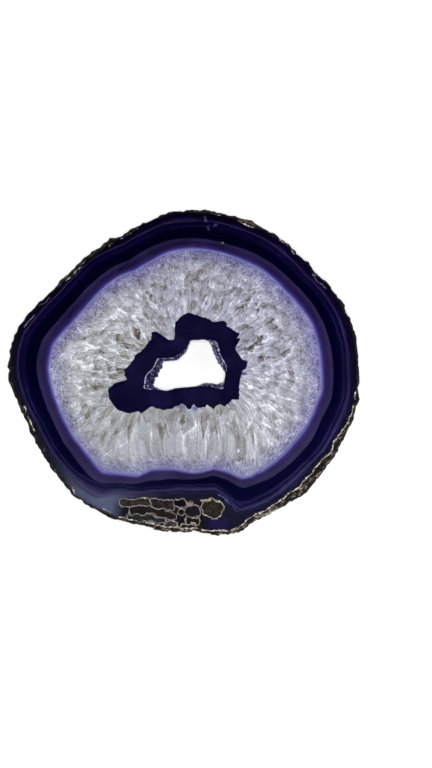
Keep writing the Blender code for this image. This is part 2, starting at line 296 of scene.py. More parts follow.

# %% [markdown]
# Materials need to know where they are in the stone. Attributes on the grid tell them: the place in the
# bands, the place along the growth lines of the quartz, the distances from rim and hollow. Some marks in the
# quartz are listed one by one: white veils, and clear crystals that look like tea-coloured windows. A grid
# this coarse would blur them, so each point stores its place inside the nearest mark. That changes evenly
# from point to point, so a material can read it anywhere and draw the mark's outline as sharp as it likes.

# %% Listed marks
VEILS = [  # x, y, half length, half width (mm), turn (degrees), strength
    (-18, 20, 1.9, 1.0, -38, 0.8), (-14.7, 14.1, 2.7, 0.8, -57, 1.0), (17.7, 25.3, 1.3, 0.6, 60, 0.7),
    (22.9, 34.2, 0.8, 0.6, 0, 0.9), (28, 9.6, 1.3, 0.6, 30, 0.9), (25.1, -5.4, 2.6, 1.1, -40, 0.8),
    (36.2, -9.1, 5.5, 0.4, -15, 0.6), (32.9, -13.0, 5.5, 0.4, -39, 0.9), (30.6, -19.4, 3.3, 0.5, -28, 0.8),
    (20.3, -29, 1.1, 0.6, 60, 0.9), (-11.9, -23.9, 4.4, 0.3, 87, 0.5), (-5.6, -21.3, 5.2, 0.3, 103, 0.5),
    (4.6, -19.4, 5.2, 0.4, 90, 0.5), (9.2, -21.3, 5.9, 0.3, 92, 0.6), (12.9, -22, 7.4, 0.35, 97, 0.6),
    (17.9, -16.1, 4.8, 1.3, 80, 0.45), (-1.9, -18.2, 2.6, 0.3, 80, 0.5), (24.7, 29.5, 6.3, 0.35, 39, 0.5),
    (-19.3, 7.6, 3.0, 0.9, -30, 0.5), (-26.4, 12, 3.0, 0.9, -35, 0.5), (-16, 27.2, 3.0, 0.4, -50, 0.5),
    (8.1, 26.5, 3.3, 0.5, 62, 0.6), (-20.4, -10.2, 4.1, 0.6, 10, 0.4), (37.5, -3.5, 3.3, 0.6, -5, 0.4),
    (24.7, -18.9, 4.1, 0.6, 60, 0.5), (43.9, -17.6, 4.1, 0.7, -35, 0.3), (-22.6, -26.8, 2.8, 0.4, 35, 0.5),
    (-27.6, -29.6, 2.6, 0.4, 40, 0.5), (-24.5, 14.9, 2.2, 0.5, -20, 0.5), (-22.4, 22.6, 2.4, 0.6, -30, 0.7),
    (-38.2, 15.5, 2.0, 0.35, -55, 0.6), (-34, 9.8, 2.7, 0.4, -15, 0.7), (-29.9, 5.3, 3.4, 0.45, -22, 0.7),
    (-33.4, 0.6, 3.7, 0.4, -6, 0.6), (-28.8, 17, 2.6, 0.4, 40, 0.6), (-25.4, 0.2, 3.6, 0.4, 10, 0.5),
    (29.5, -2.6, 3.6, 0.9, -10, 0.5), (39.8, 11.6, 2.4, 0.35, 50, 0.5), (19.5, 22.2, 2.6, 0.35, 48, 0.5),
]
WINDOWS = [  # clear crystals, in the same terms
    (-17.5, 14.6, 2.5, 1.4, -65, 1.0), (-21.6, 9.5, 2.0, 0.9, -10, 0.8), (-21.3, 5.9, 1.9, 0.9, -15, 0.8),
    (-13.8, 20.9, 1.7, 0.7, -60, 0.8), (-17.5, 24.2, 1.4, 0.7, -20, 0.6), (-8.6, 18.8, 1.7, 1.0, -60, 0.35),
    (-11.2, 27.4, 3.2, 1.2, -54, 0.75), (-1.2, 27.9, 1.7, 0.7, 70, 0.6), (8.1, 35.7, 1.6, 0.6, 80, 0.4),
    (11.8, 23.9, 2.0, 1.1, 70, 0.7), (15.1, 26.8, 1.6, 0.8, 60, 0.6), (18.8, 30.5, 2.0, 1.0, 55, 0.6),
    (23.6, 25.9, 2.4, 0.9, 50, 0.7), (29.1, 12.3, 1.7, 1.1, 30, 0.65), (24.7, 8.7, 2.0, 1.2, 40, 0.8),
    (28.8, 5, 2.0, 1.2, 60, 0.8), (38.4, 7.2, 2.0, 1.2, 40, 0.8), (32.5, 8, 1.1, 0.7, 0, 0.5),
    (34.3, -0.6, 1.9, 1.0, 0, 0.4), (-34.1, 13.5, 1.1, 0.7, 0, 0.5), (-28.2, 3.1, 1.6, 0.9, 0, 0.4),
    (-27.1, -1.5, 4.4, 1.0, 0, 0.4), (-32.3, -4.6, 1.5, 1.7, 0, 0.35), (-36.9, -3.9, 1.7, 1.1, 20, 0.55),
    (-36.2, 12.4, 1.2, 0.6, 0, 0.6), (-30.3, 7.6, 1.4, 0.55, -20, 0.6), (-24.9, -22.4, 1.2, 0.7, 30, 0.6),
    (29.1, -5.6, 1.5, 0.9, -20, 0.5), (34, -11.1, 2.2, 0.8, -30, 0.6), (-8.2, -21.3, 2.9, 1.0, 100, 0.35),
    (1.4, -25, 2.6, 1.0, 80, 0.3),
    (-0.1, -17.6, 1.9, 0.9, 80, 0.5), (6.9, -15.7, 3.3, 0.6, 90, 0.3), (14.3, -15.7, 3.3, 0.6, 95, 0.35),
    (24.9, -7.6, 3.3, 0.3, -41, 0.7), (-19.0, 10.8, 1.6, 0.8, -15, 0.4), (-29.5, -10.5, 1.5, 0.8, 15, 0.35),
    (3.5, 30.5, 1.8, 0.7, 75, 0.35), (-4.5, 33.5, 1.5, 0.6, 100, 0.35), (33.5, 19.5, 1.3, 0.7, 35, 0.4),
]
DYE_PATCHES = [  # where dye has soaked into the tips
    (22.5, -0.4, 1.3, 0.8, 0, 1.0), (-1.4, -12.6, 2.4, 0.7, 0, 0.7), (4.4, -13.3, 1.3, 1.0, 0, 0.8),
]
MARK_ROOM = 1.2  # how far round a mark its points are stored
MARKS_APART = 0.96  # and how much farther off the next mark must be


def in_frame(points, x, y, turn):
    """Places along and beside a line through (x, y) at the given turn."""
    c, s = math.cos(math.radians(turn)), math.sin(math.radians(turn))
    dx, dy = points[..., 0] - x, points[..., 1] - y
    return c * dx + s * dy, c * dy - s * dx


def patches(points, table):
    """Sum of soft ellipses: each falls from its strength at the middle to 0 a little past its edge."""
    total = np.zeros(points.shape[:-1])
    for x, y, half_length, half_width, turn, strength in table:
        along, beside = in_frame(points, x, y, turn)
        total += strength * smooth(1.3, 0.4, np.hypot(along / half_length, beside / half_width))
    return total


def nearest_mark(points, table):
    """Each point's place in the nearest mark, from -1 to 1 along and across it, and the mark's strength,
    which is 0 far from all of them and half-way between two."""
    place = np.zeros(points.shape)
    nearest = np.full(points.shape[:-1], np.inf)
    second = nearest.copy()
    for x, y, half_length, half_width, turn, strength in table:
        along, beside = in_frame(points, x, y, turn)
        gap = np.hypot(np.maximum(np.abs(along) - half_length, 0), np.maximum(np.abs(beside) - half_width, 0))
        here = np.stack([along / half_length, beside / half_width, np.full(gap.shape, strength)], -1)
        closer = gap < nearest
        place = np.where(closer[..., None], here, place)
        second = np.where(closer, nearest, np.minimum(second, gap))
        nearest = np.minimum(nearest, gap)
    place[..., 2] *= (nearest < MARK_ROOM) & (second - nearest > MARKS_APART)
    return place


# %% [markdown]
# The growth lines give the quartz its fan of columns. A point's growth coordinate is its place on a drum as
# wide as the belt's middle, with the depth below the quartz edge as the drum's height, so that a pattern in
# these coordinates leans and spreads as the crystals do. At the bottom the columns are longest, so their
# depth is squeezed there.

# %% Attributes of the stone
DRUM = 32.0
BACK_SHIFT = 60.0  # the back reads the quartz pattern this much deeper, so that it differs from the front
COLUMN_SQUEEZE = [(-180, 1.0), (-135, 0.8), (-118, 0.45), (-62, 0.45), (-45, 0.8), (-30, 1.0), (180, 1.0)]
MILK = np.array([  # angle, and how light the quartz is there at its edge, half-way and at the crystals' tips
    (-180, 0.07, 0.09, -0.09), (-150, -0.04, -0.01, -0.07), (-120, -0.04, 0.0, -0.06),
    (-90, -0.04, -0.04, -0.05), (-60, 0.0, 0.08, 0.06), (-40, 0.06, 0.15, 0.11), (-20, 0.01, 0.1, 0.1),
    (0, -0.02, 0.08, 0.07), (45, -0.07, -0.01, 0.0), (90, -0.18, -0.02, 0.05), (120, -0.19, 0.04, -0.02),
    (150, -0.14, 0.09, -0.04),
])
TINT = [  # how lavender the quartz is, by angle, from neutral grey at 0
    (-180, 0.15), (-140, 0.2), (-115, 0.35), (-90, 0.35), (-70, 0.3), (-50, 0.2), (-25, 0.38), (0, 0.78),
    (45, 0.9), (75, 0.75), (110, 0.75), (135, 0.4), (160, 0.2),
]
BOLD = [  # how strongly the facets stand out, by angle
    (-180, 1.18), (-165, 1.12), (-145, 0.72), (-120, 0.68), (-90, 0.85), (-60, 1.0), (-40, 1.15), (0, 1.05),
    (30, 1.05), (52, 1.0), (95, 0.84), (125, 0.92), (142, 1.0), (160, 1.12),
]
DYE_LIGHT = [  # how bright the dyed bands are, by angle
    (-180, 0.88), (-160, 0.95), (-140, 1.0), (-115, 1.0), (-90, 0.8), (-70, 0.95), (-50, 1.15), (-25, 1.15),
    (-8, 1.0), (15, 1.0), (45, 0.92), (75, 0.7), (100, 0.62), (140, 0.74), (165, 0.86),
]
LINED = [  # how plainly the bands are lined, by angle
    (-180, 0.3), (-160, 0.6), (-140, 0.9), (-120, 1.0), (-95, 0.8), (-60, 1.0), (-30, 0.8), (-12, 0.4),
    (5, 0.15), (25, 0.0), (150, 0.0), (165, 0.15),
]
HAZE = [  # where the outer bands are washed out to slate
    (-180, 0.02), (-165, 0.03), (-150, 0.05), (-140, 0.14), (-134, 0.5), (-128, 0.8), (-120, 0.75),
    (-113, 0.32), (-106, 0.07), (-90, 0.04), (-60, 0.03), (-30, 0.02), (-10, 0.01), (20, 0.0), (160, 0.0),
]
HAZE_INWARDS = [  # and how the haze fades inwards, by band value
    (0.0, 0.6), (0.06, 0.9), (0.15, 1.0), (0.19, 0.7), (0.24, 0.3), (0.28, 0.2), (0.31, 0.08), (0.36, 0.05),
    (0.6, 0.03), (0.72, 0.0),
]
SKIN = [  # how much of the pale outer skin is left along the cut edge
    (-180, 0.3), (-150, 0.3), (-120, 0.4), (-100, 0.7), (-72, 0.9), (-67, 1.5), (-59, 1.4), (-53, 1.0),
    (-20, 1.0), (-8, 0.6), (10, 0.2), (30, 0.3), (50, 0.4), (62, 0.55), (86, 0.6), (95, 0.3), (112, 0.25),
    (120, 0.7), (126, 0.35), (146, 0.45), (160, 0.2),
]

is_back = ((zones == "agate") | (zones == "quartz")) & (height[:, 0] == 0)
depth = around(QUARTZ_EDGE, start) - radius
squeeze = 1 - (1 - around(COLUMN_SQUEEZE, start, 5.0)) * smooth(0.05, 0.5, quartz_share)
drum_depth = depth * squeeze + np.where(is_back, BACK_SHIFT, 0.0)[:, None]
drum_x, drum_y = (np.broadcast_to(DRUM * way(np.radians(start)), depth.shape) for way in (np.cos, np.sin))
edge_milk, middle_milk, tip_milk = (around(MILK[:, [0, column]], start, 5.0) for column in (1, 2, 3))
milk = edge_milk + (middle_milk - edge_milk) * smooth(0.0, 0.4, quartz_share)
milk = milk + (tip_milk - middle_milk) * smooth(0.5, 0.9, quartz_share)
front_only = np.where(is_back, 0.0, 1.0)[:, None, None] * [0, 0, 1] + [1, 1, 0]
rim_now, hollow_now = (np.where(height > THICKNESS / 2, rings[-1], rings[0])
                       for rings in (rind_rings, wall_rings))

attributes = {
    "band": band,
    "quartz": quartz_share,
    "growth": np.stack([drum_x, drum_y, drum_depth], -1),
    "from_rim": rim_now - radius,
    "from_hollow": radius - hollow_now,
    "veil": nearest_mark(points, VEILS) * front_only,
    "window": nearest_mark(points, WINDOWS) * front_only,
    "milk": milk,
    "tint": around(TINT, np.degrees(angle), 5.0),
    "bold": around(BOLD, np.degrees(angle), 5.0),
    "dye": patches(points, DYE_PATCHES),
    "dye_light": np.broadcast_to(around(DYE_LIGHT, start, 5.0), depth.shape),
    "lined": np.broadcast_to(around(LINED, start, 5.0), depth.shape),
    "haze": around(HAZE, start, 4.0) * np.interp(band, *np.array(HAZE_INWARDS).T),
    "skin": np.broadcast_to(around(SKIN, start, 3.0), depth.shape),
}
print("attributes", {name: (values.min().round(2), values.max().round(2))
                     for name, values in attributes.items()})

# %% [markdown]
# A grid that is closed both ways is a ring, as a tyre is. Its quads are numbered in whole arrays. The baking
# map is laid out from given boxes: the front face gets most of the picture, the back face less, and the rind
# and the wall of the hollow are unrolled into strips.

# %% Mesh helpers
def ring_quads(row_count, column_count):
    """Corner numbers of the quads of a grid closed both ways, and each corner's row and column, unwrapped."""
    row, column = np.meshgrid(np.arange(row_count), np.arange(column_count), indexing="ij")
    row, column = row.ravel()[:, None], column.ravel()[:, None]
    rows_at = row + np.array([0, 0, 1, 1])
    columns_at = column + np.array([0, 1, 1, 0])
    return (rows_at % row_count) * column_count + columns_at % column_count, rows_at, columns_at


def make_piece(name, points, faces, materials, material_of_face=None, smooth_faces=None):
    """Puts points (in millimetres) and faces of equal length into a new mesh object at the origin."""
    mesh = bpy.data.meshes.new(name)
    faces = np.asarray(faces)
    mesh.vertices.add(len(points))
    mesh.vertices.foreach_set("co", (points * MM).astype(np.float32).ravel())
    mesh.loops.add(faces.size)
    mesh.loops.foreach_set("vertex_index", faces.ravel().astype(np.int32))
    mesh.polygons.add(len(faces))
    mesh.polygons.foreach_set("loop_start", np.arange(0, faces.size, faces.shape[1], dtype=np.int32))
    for material in materials:
        mesh.materials.append(material)
    if material_of_face is not None:
        mesh.polygons.foreach_set("material_index", material_of_face.astype(np.int32))
    if smooth_faces is not None:
        mesh.polygons.foreach_set("use_smooth", smooth_faces)
    mesh.update(calc_edges=True)
    mesh.validate()
    piece = bpy.data.objects.new(name, mesh)
    bpy.context.scene.collection.objects.link(piece)
    return piece


def add_attributes(mesh, named):
    """Stores arrays on the vertices, as numbers or as vectors."""
    for name, values in named.items():
        kind, field = ("FLOAT_VECTOR", "vector") if values.ndim == 3 else ("FLOAT", "value")
        mesh.attributes.new(name, kind, "POINT").data.foreach_set(field, values.astype(np.float32).ravel())


# %% [markdown]
# All materials below are made from nodes with one function. Colours are written as they look, as sRGB hex
# values, and turned to linear light by one function.

# %% Material helpers
def linear(colour):
    """Linear light from an sRGB hex colour: v / 12.92 in the darks, ((v + 0.055) / 1.055) ** 2.4 above."""
    values = [int(colour[i:i + 2], 16) / 255 for i in (1, 3, 5)]
    return [v / 12.92 if v <= 0.04045 else ((v + 0.055) / 1.055) ** 2.4 for v in values] + [1.0]


def fill(node, inputs):
    """Gives each named or numbered socket of a node its value, or links it to another node's output."""
    for socket, value in inputs.items():
        if isinstance(value, bpy.types.NodeSocket):
            node.id_data.links.new(value, node.inputs[socket])
        else:
            node.inputs[socket].default_value = value


def add(tree, kind, inputs=None, output=0, stops=None, curve=None, **settings):
    """Adds a node with settings, inputs and the stops of its ramp or curve, and returns an output."""
    node = tree.nodes.new("ShaderNode" + kind)
    for name, value in settings.items():
        setattr(node, name, value)
    fill(node, inputs or {})
    if stops:
        elements = node.color_ramp.elements
        elements[0].position, elements[1].position = stops[0][0], stops[-1][0]
        for position, _ in stops[1:-1]:
            elements.new(position)
        for element, (_, colour) in zip(elements, stops):
            element.color = linear(colour)
    if curve:
        line = node.mapping.curves[0]
        line.points[0].location, line.points[1].location = curve[0], curve[-1]
        for point in curve[1:-1]:
            line.points.new(*point)
        node.mapping.update()
    return node.outputs[output]


def add_ramp(tree, value, stops):
    """A colour ramp of any length: a ramp holds 32 stops at most, so a longer list is split at its middle."""
    if len(stops) <= 32:
        return add(tree, "ValToRGB", {0: value}, stops=stops)
    half = len(stops) // 2
    low, high = add_ramp(tree, value, stops[:half + 1]), add_ramp(tree, value, stops[half:])
    past = add(tree, "Math", {0: value, 1: stops[half][0]}, operation="GREATER_THAN")
    return add(tree, "Mix", {0: past, 6: low, 7: high}, output=2, data_type="RGBA")


def new_material(name):
    """An empty Principled material: the material, its node tree and its shader."""
    material = bpy.data.materials.new(name)
    material.use_nodes = True
    return material, material.node_tree, material.node_tree.nodes["Principled BSDF"]


def per(size):
    """Scale of a pattern on coordinates in metres whose cells are to be this many millimetres wide."""
    return 1 / (size * MM)


# %% [markdown]
# Part of the rim is not agate: at the bottom the nodule grew round a knot of dark rock, in cells that are
# outlined by thin cream veins. Each cell is painted as one or more boxes with round corners. The distance
# from such a box is a few vector steps, and a warped position makes its outline wander as natural ones do.

# %% The inclusion's cells
VEIN_COLOURS = [(0.36, "#7a706a"), (0.48, "#bfb5ac"), (0.58, "#ece6e0")]
GAP_COLOUR = "#0a0709"
VEIN = 0.1  # half the width of a vein, in millimetres
GAP_REACH, VEIN_REACH = 0.6, 0.31  # how far the dark gap and the vein reach past an outline, unevenly
ROUNDING = 0.88  # radius of a box's corners, as a share of its half height
WARPS = ((2.4, 3.0, 2.5), (0.8, 2.0, 0.8))  # wandering of the outlines: size (mm), detail, reach (mm)
CELLS = [  # fill, half width of the outline, then boxes: x, y, half length, half height (mm), turn (degrees)
    ("#22262a", VEIN, [(-16.4, -53.9, 4.62, 1.26, 0), (-10.1, -54.3, 3.52, 0.96, -12)]),
    ("#191514", VEIN, [(-16.7, -56.0, 2.04, 0.63, 0)]),
    ("#8a7468", 0.05, [(-12.7, -56.1, 1.67, 0.67, 0)]),
    ("#14100f", VEIN, [(-9.0, -56.2, 2.22, 0.67, -5)]),
    ("#1f1918", VEIN, [(-15.6, -51.0, 4.62, 1.55, 2), (-7.3, -52.2, 4.81, 1.41, -17)]),
    ("#262423", VEIN, [(-7.5, -48.7, 4.81, 1.85, -9)]),
    ("#2a2825", VEIN, [(-17.8, -48.1, 5.74, 1.48, -1)]),
    ("#3a3034", VEIN, [(-4.3, -56.4, 2.04, 1.63, -15)]),
    ("#0e0b12", VEIN, [(-1.0, -48.3, 2.4, 1.33, 8)]),
    ("#18110d", 0.1, [(-0.8, -51.6, 1.33, 1.55, 0)]),
    ("#17141f", VEIN, [(3.4, -51.4, 2.77, 1.96, -6)]),
    ("#1b1714", VEIN, [(3.6, -55.1, 2.77, 1.48, -8)]),
    ("#a8a8a4", 0.0, [(3.6, -55.9, 1.18, 0.59, -25)]),
    ("#242723", 0.12, [(1.8, -57.2, 2.96, 1.26, -8)]),
    ("#8f7a78", 0.0, [(2.5, -48.7, 1.18, 1.18, 0)]),
    ("#050308", 0.0, [(2.9, -48.1, 0.37, 0.37, 0)]),
    ("#26251f", 0.14, [(10.8, -50.3, 4.07, 3.33, -20)]),
    ("#0c0908", 0.1, [(-1.4, -58.1, 1.48, 0.55, 0)]),
    ("#a59a86", 0.0, [(8.1, -47.2, 2.04, 0.33, 5)]),
    ("#5a63a8", 0.0, [(14.9, -46.6, 2.33, 0.15, -45)]),
]
GROUND = [  # soft patches under the cells: fill, softness, box
    ("#141118", 2.2, (-6.7, -52.0, 17.5, 5.0, -2)),
    ("#181042", 1.6, (13.0, -55.9, 3.4, 1.6, 0)),
]
# The palest lines, at the upper right and at the left near the rim, are painted glints where a fracture and
# the edge catch the light.
CRACKS_AND_GLINTS = [  # thin cracks and pale lines in the bands: colour, softness, box
    ("#9a98c4", 0.07, (50.2, 33.5, 3.9, 0.05, -47)), ("#3c3758", 0.3, (8.3, 56.6, 0.25, 1.4, 10)),
    ("#342f50", 0.4, (9.4, 53.3, 0.3, 1.6, -15)), ("#3c3759", 0.3, (11.9, 54.3, 0.5, 0.2, -20)),
    ("#5f5a7c", 0.15, (14.5, 48.0, 0.25, 0.2, 0)), ("#6c6890", 0.08, (61.5, -17.0, 0.08, 2.6, -8)),
    ("#b4b2cc", 0.07, (-57.2, 19.0, 3.1, 0.05, 53)), ("#86849e", 0.07, (-51.0, 26.1, 2.6, 0.04, 37)),
    ("#5c5e8a", 0.12, (17.9, -49.3, 3.2, 0.06, -45)),
]


def drift(tree, place, scale, detail, reach):
    """A vector that wanders from place to place, by half the reach each way: noise less 0.5, times reach."""
    noise = add(tree, "TexNoise", {"Vector": place, "Scale": scale, "Detail": detail}, output=1)
    noise = add(tree, "VectorMath", {0: noise, 1: (0.5, 0.5, 0.5)}, operation="SUBTRACT")
    return add(tree, "VectorMath", {0: noise, "Scale": reach}, operation="SCALE")


def box_distance(tree, place, x, y, half_length, half_height, turn):
    """Distance in millimetres from a box with round corners: the length of what sticks out past a smaller
    box on each axis, less the corner's radius."""
    corner = ROUNDING * half_height
    local = add(tree, "Mapping", {"Vector": place, "Location": (x * MM, y * MM, 0), "Scale": (MM, MM, MM),
                                  "Rotation": (0, 0, math.radians(turn))}, vector_type="TEXTURE")
    size = add(tree, "VectorMath", {0: local}, operation="ABSOLUTE")
    past = add(tree, "VectorMath", {0: size, 1: (half_length - corner, half_height - corner, 0)},
               operation="SUBTRACT")
    out = add(tree, "VectorMath", {0: past, 1: (0, 0, 0)}, operation="MAXIMUM")
    length = add(tree, "VectorMath", {0: out}, operation="LENGTH", output=1)
    return add(tree, "Math", {0: length, 1: corner}, operation="SUBTRACT")


def paint(tree, under, distance, limit, softness, colour):
    """Lays a colour over what is under it, wherever the distance is below the limit."""
    inside = add(tree, "MapRange", {"Value": distance, "From Min": limit + softness,
                                    "From Max": limit - softness})
    return add(tree, "Mix", {0: inside, 6: under, 7: colour}, output=2, data_type="RGBA")


def inclusion(tree, under, position):
    """Paints the dark knot over the agate: soft ground, thin cracks and painted glints first, then for each
    cell the gap round it, its vein and its mottled fill."""
    flat = add(tree, "VectorMath", {0: position, 1: (1, 1, 0)}, operation="MULTIPLY")
    warped = flat
    for size, detail, reach in WARPS:
        shift = drift(tree, flat, per(size), detail, reach * MM)
        warped = add(tree, "VectorMath", {0: warped, 1: shift}, operation="ADD")
    warped = add(tree, "VectorMath", {0: warped, 1: (1, 1, 0)}, operation="MULTIPLY")
    fine = add(tree, "TexNoise", {"Vector": flat, "Scale": per(0.9), "Detail": 2.0})
    vein = add(tree, "ValToRGB", {0: fine}, stops=VEIN_COLOURS)
    mottle = add(tree, "TexNoise", {"Vector": flat, "Scale": per(1.4), "Detail": 4.0, "Roughness": 0.7})
    mottle = add(tree, "MapRange", {"Value": mottle, "From Min": 0.35, "From Max": 0.65,
                                    "To Min": 0.3, "To Max": 1.5})
    # The cracks include the painted glints.
    for colour, softness, box in GROUND + CRACKS_AND_GLINTS:
        under = paint(tree, under, box_distance(tree, warped, *box), 0.0, softness, linear(colour))
    for colour, outline, boxes in CELLS:
        distance = box_distance(tree, warped, *boxes[0])
        for box in boxes[1:]:
            other = box_distance(tree, warped, *box)
            distance = add(tree, "Math", {0: distance, 1: other}, operation="MINIMUM")
        if outline:
            uneven = add(tree, "Math", {0: fine, 1: 0.7, 2: distance}, operation="MULTIPLY_ADD")
            under = paint(tree, under, uneven, outline + GAP_REACH, 0.1, linear(GAP_COLOUR))
            under = paint(tree, under, uneven, outline + VEIN_REACH, 0.06, vein)
        mottled = add(tree, "VectorMath", {0: linear(colour)[:3], "Scale": mottle}, operation="SCALE")
        under = paint(tree, under, distance, -outline, 0.1, mottled)
    return under


# %% [markdown]
# Agate is chalcedony: quartz in fibres too fine to see, laid down in bands, some denser than others. The slab
# was soaked in violet dye, which only the open bands took up, and then polished to a gloss. The colour is a
# ramp over the band value, with fine lines from a one-dimensional noise over the same value.

# %% Dyed banded agate, polished
CALM_BANDS = [  # colour by band value, where the bands are dark and even
    (0.000, "#0d0814"), (0.050, "#070211"), (0.090, "#06011a"), (0.135, "#030020"), (0.160, "#070126"),
    (0.185, "#170f35"), (0.215, "#150c33"), (0.243, "#120b30"), (0.262, "#1f183e"), (0.285, "#1d163c"),
    (0.310, "#09022a"), (0.345, "#000021"), (0.372, "#010025"), (0.390, "#0f0832"), (0.405, "#0e0730"),
    (0.430, "#05002a"), (0.460, "#000024"), (0.500, "#00001c"), (0.600, "#000018"), (0.680, "#000019"),
    (0.700, "#010024"), (0.716, "#160f3b"), (0.732, "#271f4c"), (0.750, "#28204c"), (0.775, "#221944"),
    (0.800, "#1e1440"), (0.840, "#1b0e3d"), (0.885, "#1b0e3f"), (0.920, "#201459"), (0.948, "#2a1f68"),
    (0.974, "#3b307e"), (1.000, "#4e4696"),
]
LINED_BANDS = [  # and where they are plainly lined
    (0.000, "#0d0814"), (0.050, "#10101f"), (0.090, "#0e0e21"), (0.120, "#070523"), (0.150, "#0e0b29"),
    (0.165, "#1a1637"), (0.185, "#090729"), (0.215, "#150f33"), (0.235, "#100c31"), (0.255, "#292548"),
    (0.285, "#2d294e"), (0.310, "#1e1b40"), (0.335, "#19153b"), (0.360, "#05032b"), (0.385, "#06032c"),
    (0.410, "#1b183f"), (0.430, "#151138"), (0.455, "#0e0b33"), (0.480, "#020226"), (0.600, "#010121"),
    (0.680, "#010122"), (0.700, "#060529"), (0.716, "#1b193e"), (0.735, "#29254b"), (0.775, "#292348"),
    (0.810, "#271f45"), (0.840, "#241c44"), (0.870, "#221a44"), (0.910, "#251b4f"), (0.935, "#2c225e"),
    (0.955, "#3b3474"), (0.975, "#4f4b8c"), (1.000, "#6a67a6"),
]
FINE_LINES = 24.0  # steps of the fine-line noise over the whole band value


def banded_agate():
    """Colour is a ramp over the band value, times fine lines, clouds and the brightness of the dye. Over it
    lie haze, the dark knot with cracks and painted glints, and at the rim dirt outside a wandering line of
    chalk."""
    material, tree, shader = new_material("dyed banded agate, polished")
    position = add(tree, "TexCoord", output="Object")
    band = add(tree, "Attribute", attribute_name="band", output="Fac")
    wave = add(tree, "TexNoise", {"Vector": position, "Scale": per(5.0), "Detail": 4.0})
    band = add(tree, "Math", {0: wave, 1: 0.03, 2: band}, operation="MULTIPLY_ADD")
    band = add(tree, "Math", {0: band, 1: 0.015}, operation="SUBTRACT")
    ripple = add(tree, "TexNoise", {"Vector": position, "Scale": per(1.6), "Detail": 2.0})
    ripple = add(tree, "Math", {0: ripple, 1: 0.5}, operation="SUBTRACT")
    lined = add(tree, "Attribute", attribute_name="lined", output="Fac")
    ripple = add(tree, "Math", {0: ripple, 1: lined}, operation="MULTIPLY")
    outside = add(tree, "MapRange", {"Value": band, "From Min": 0.8, "From Max": 0.5, "To Max": 0.045})
    band = add(tree, "Math", {0: ripple, 1: outside, 2: band}, operation="MULTIPLY_ADD")
    calm = add_ramp(tree, band, CALM_BANDS)
    plain = add_ramp(tree, band, LINED_BANDS)
    colour = add(tree, "Mix", {0: lined, 6: calm, 7: plain}, output=2, data_type="RGBA")

    many = add(tree, "Math", {0: band, 1: FINE_LINES}, operation="MULTIPLY")
    lines = add(tree, "TexNoise", {"W": many, "Scale": 1.0, "Detail": 2.0}, noise_dimensions="1D")
    lines = add(tree, "MapRange", {"Value": lines, "From Min": 0.3, "From Max": 0.72,
                                   "To Min": 0.75, "To Max": 1.3})
    cloud = add(tree, "TexNoise", {"Vector": position, "Scale": per(9.0), "Detail": 3.0})
    cloud = add(tree, "MapRange", {"Value": cloud, "From Min": 0.3, "From Max": 0.7,
                                   "To Min": 0.75, "To Max": 1.3})
    uneven = add(tree, "Math", {0: lines, 1: cloud}, operation="MULTIPLY")
    dye_light = add(tree, "Attribute", attribute_name="dye_light", output="Fac")
    uneven = add(tree, "Math", {0: uneven, 1: dye_light}, operation="MULTIPLY")
    colour = add(tree, "VectorMath", {0: colour, "Scale": uneven}, operation="SCALE")

    haze = add(tree, "Attribute", attribute_name="haze", output="Fac")
    haze = add(tree, "Math", {0: haze, 1: cloud}, operation="MULTIPLY")
    colour = add(tree, "Mix", {0: haze, 6: colour, 7: linear("#565b7a")}, output=2, data_type="RGBA")
    colour = inclusion(tree, colour, position)

    rim = add(tree, "Attribute", attribute_name="from_rim", output="Fac")
    skin = add(tree, "Attribute", attribute_name="skin", output="Fac")
    wander = add(tree, "TexNoise", {"Vector": position, "Scale": per(3.5), "Detail": 4.0, "Roughness": 0.6})
    wander = add(tree, "MapRange", {"Value": wander, "From Min": 0.3, "From Max": 0.7,
                                    "To Min": -0.3, "To Max": 0.9})
    inside = add(tree, "Math", {0: rim, 1: wander}, operation="SUBTRACT")
    soil = add(tree, "TexNoise", {"Vector": position, "Scale": per(0.9), "Detail": 3.0})
    dirt = add(tree, "ValToRGB", {0: soil}, stops=[(0.4, "#070507"), (0.54, "#171211"), (0.68, "#4a4038")])
    dirty = add(tree, "MapRange", {"Value": inside, "From Min": 0.1, "From Max": -0.1})
    dirty = add(tree, "Math", {0: dirty, 1: skin}, operation="MULTIPLY")
    colour = add(tree, "Mix", {0: dirty, 6: colour, 7: dirt}, output=2, data_type="RGBA")
    chalk = add(tree, "ValToRGB", {0: soil}, stops=[(0.3, "#4d463f"), (0.48, "#a59c90"), (0.62, "#e4ded4")])
    line = add(tree, "Math", {0: inside}, operation="ABSOLUTE")
    line = add(tree, "Math", {0: soil, 1: -0.4, 2: line}, operation="MULTIPLY_ADD")
    line = add(tree, "MapRange", {"Value": line, "From Min": 0.08, "From Max": -0.08})
    here = add(tree, "TexNoise", {"Vector": position, "Scale": per(5.0), "Detail": 3.0})
    here = add(tree, "Math", {0: here, 1: 2.4, 2: skin}, operation="MULTIPLY_ADD")
    here = add(tree, "MapRange", {"Value": here, "From Min": 1.72, "From Max": 1.9})
    line = add(tree, "Math", {0: line, 1: here}, operation="MULTIPLY")
    colour = add(tree, "Mix", {0: line, 6: colour, 7: chalk}, output=2, data_type="RGBA")

    gloss = add(tree, "MapRange", {"Value": cloud, "To Min": 0.1, "To Max": 0.2})
    fill(shader, {"Base Color": colour, "Roughness": gloss, "IOR": 1.54})
    return material


# %% [markdown]
# Inside the agate the same silica grew as visible quartz crystals, which start as fine grit and grow coarser
# inwards, because the best-placed ones crowd out the rest. The saw cuts them all across, so the polished face
# shows a mosaic: milky grains, white veils along the columns, and clear grains that look tan because one sees
# into them. Three sizes of Voronoi cells, in growth coordinates, take turns from the edge to the tips.

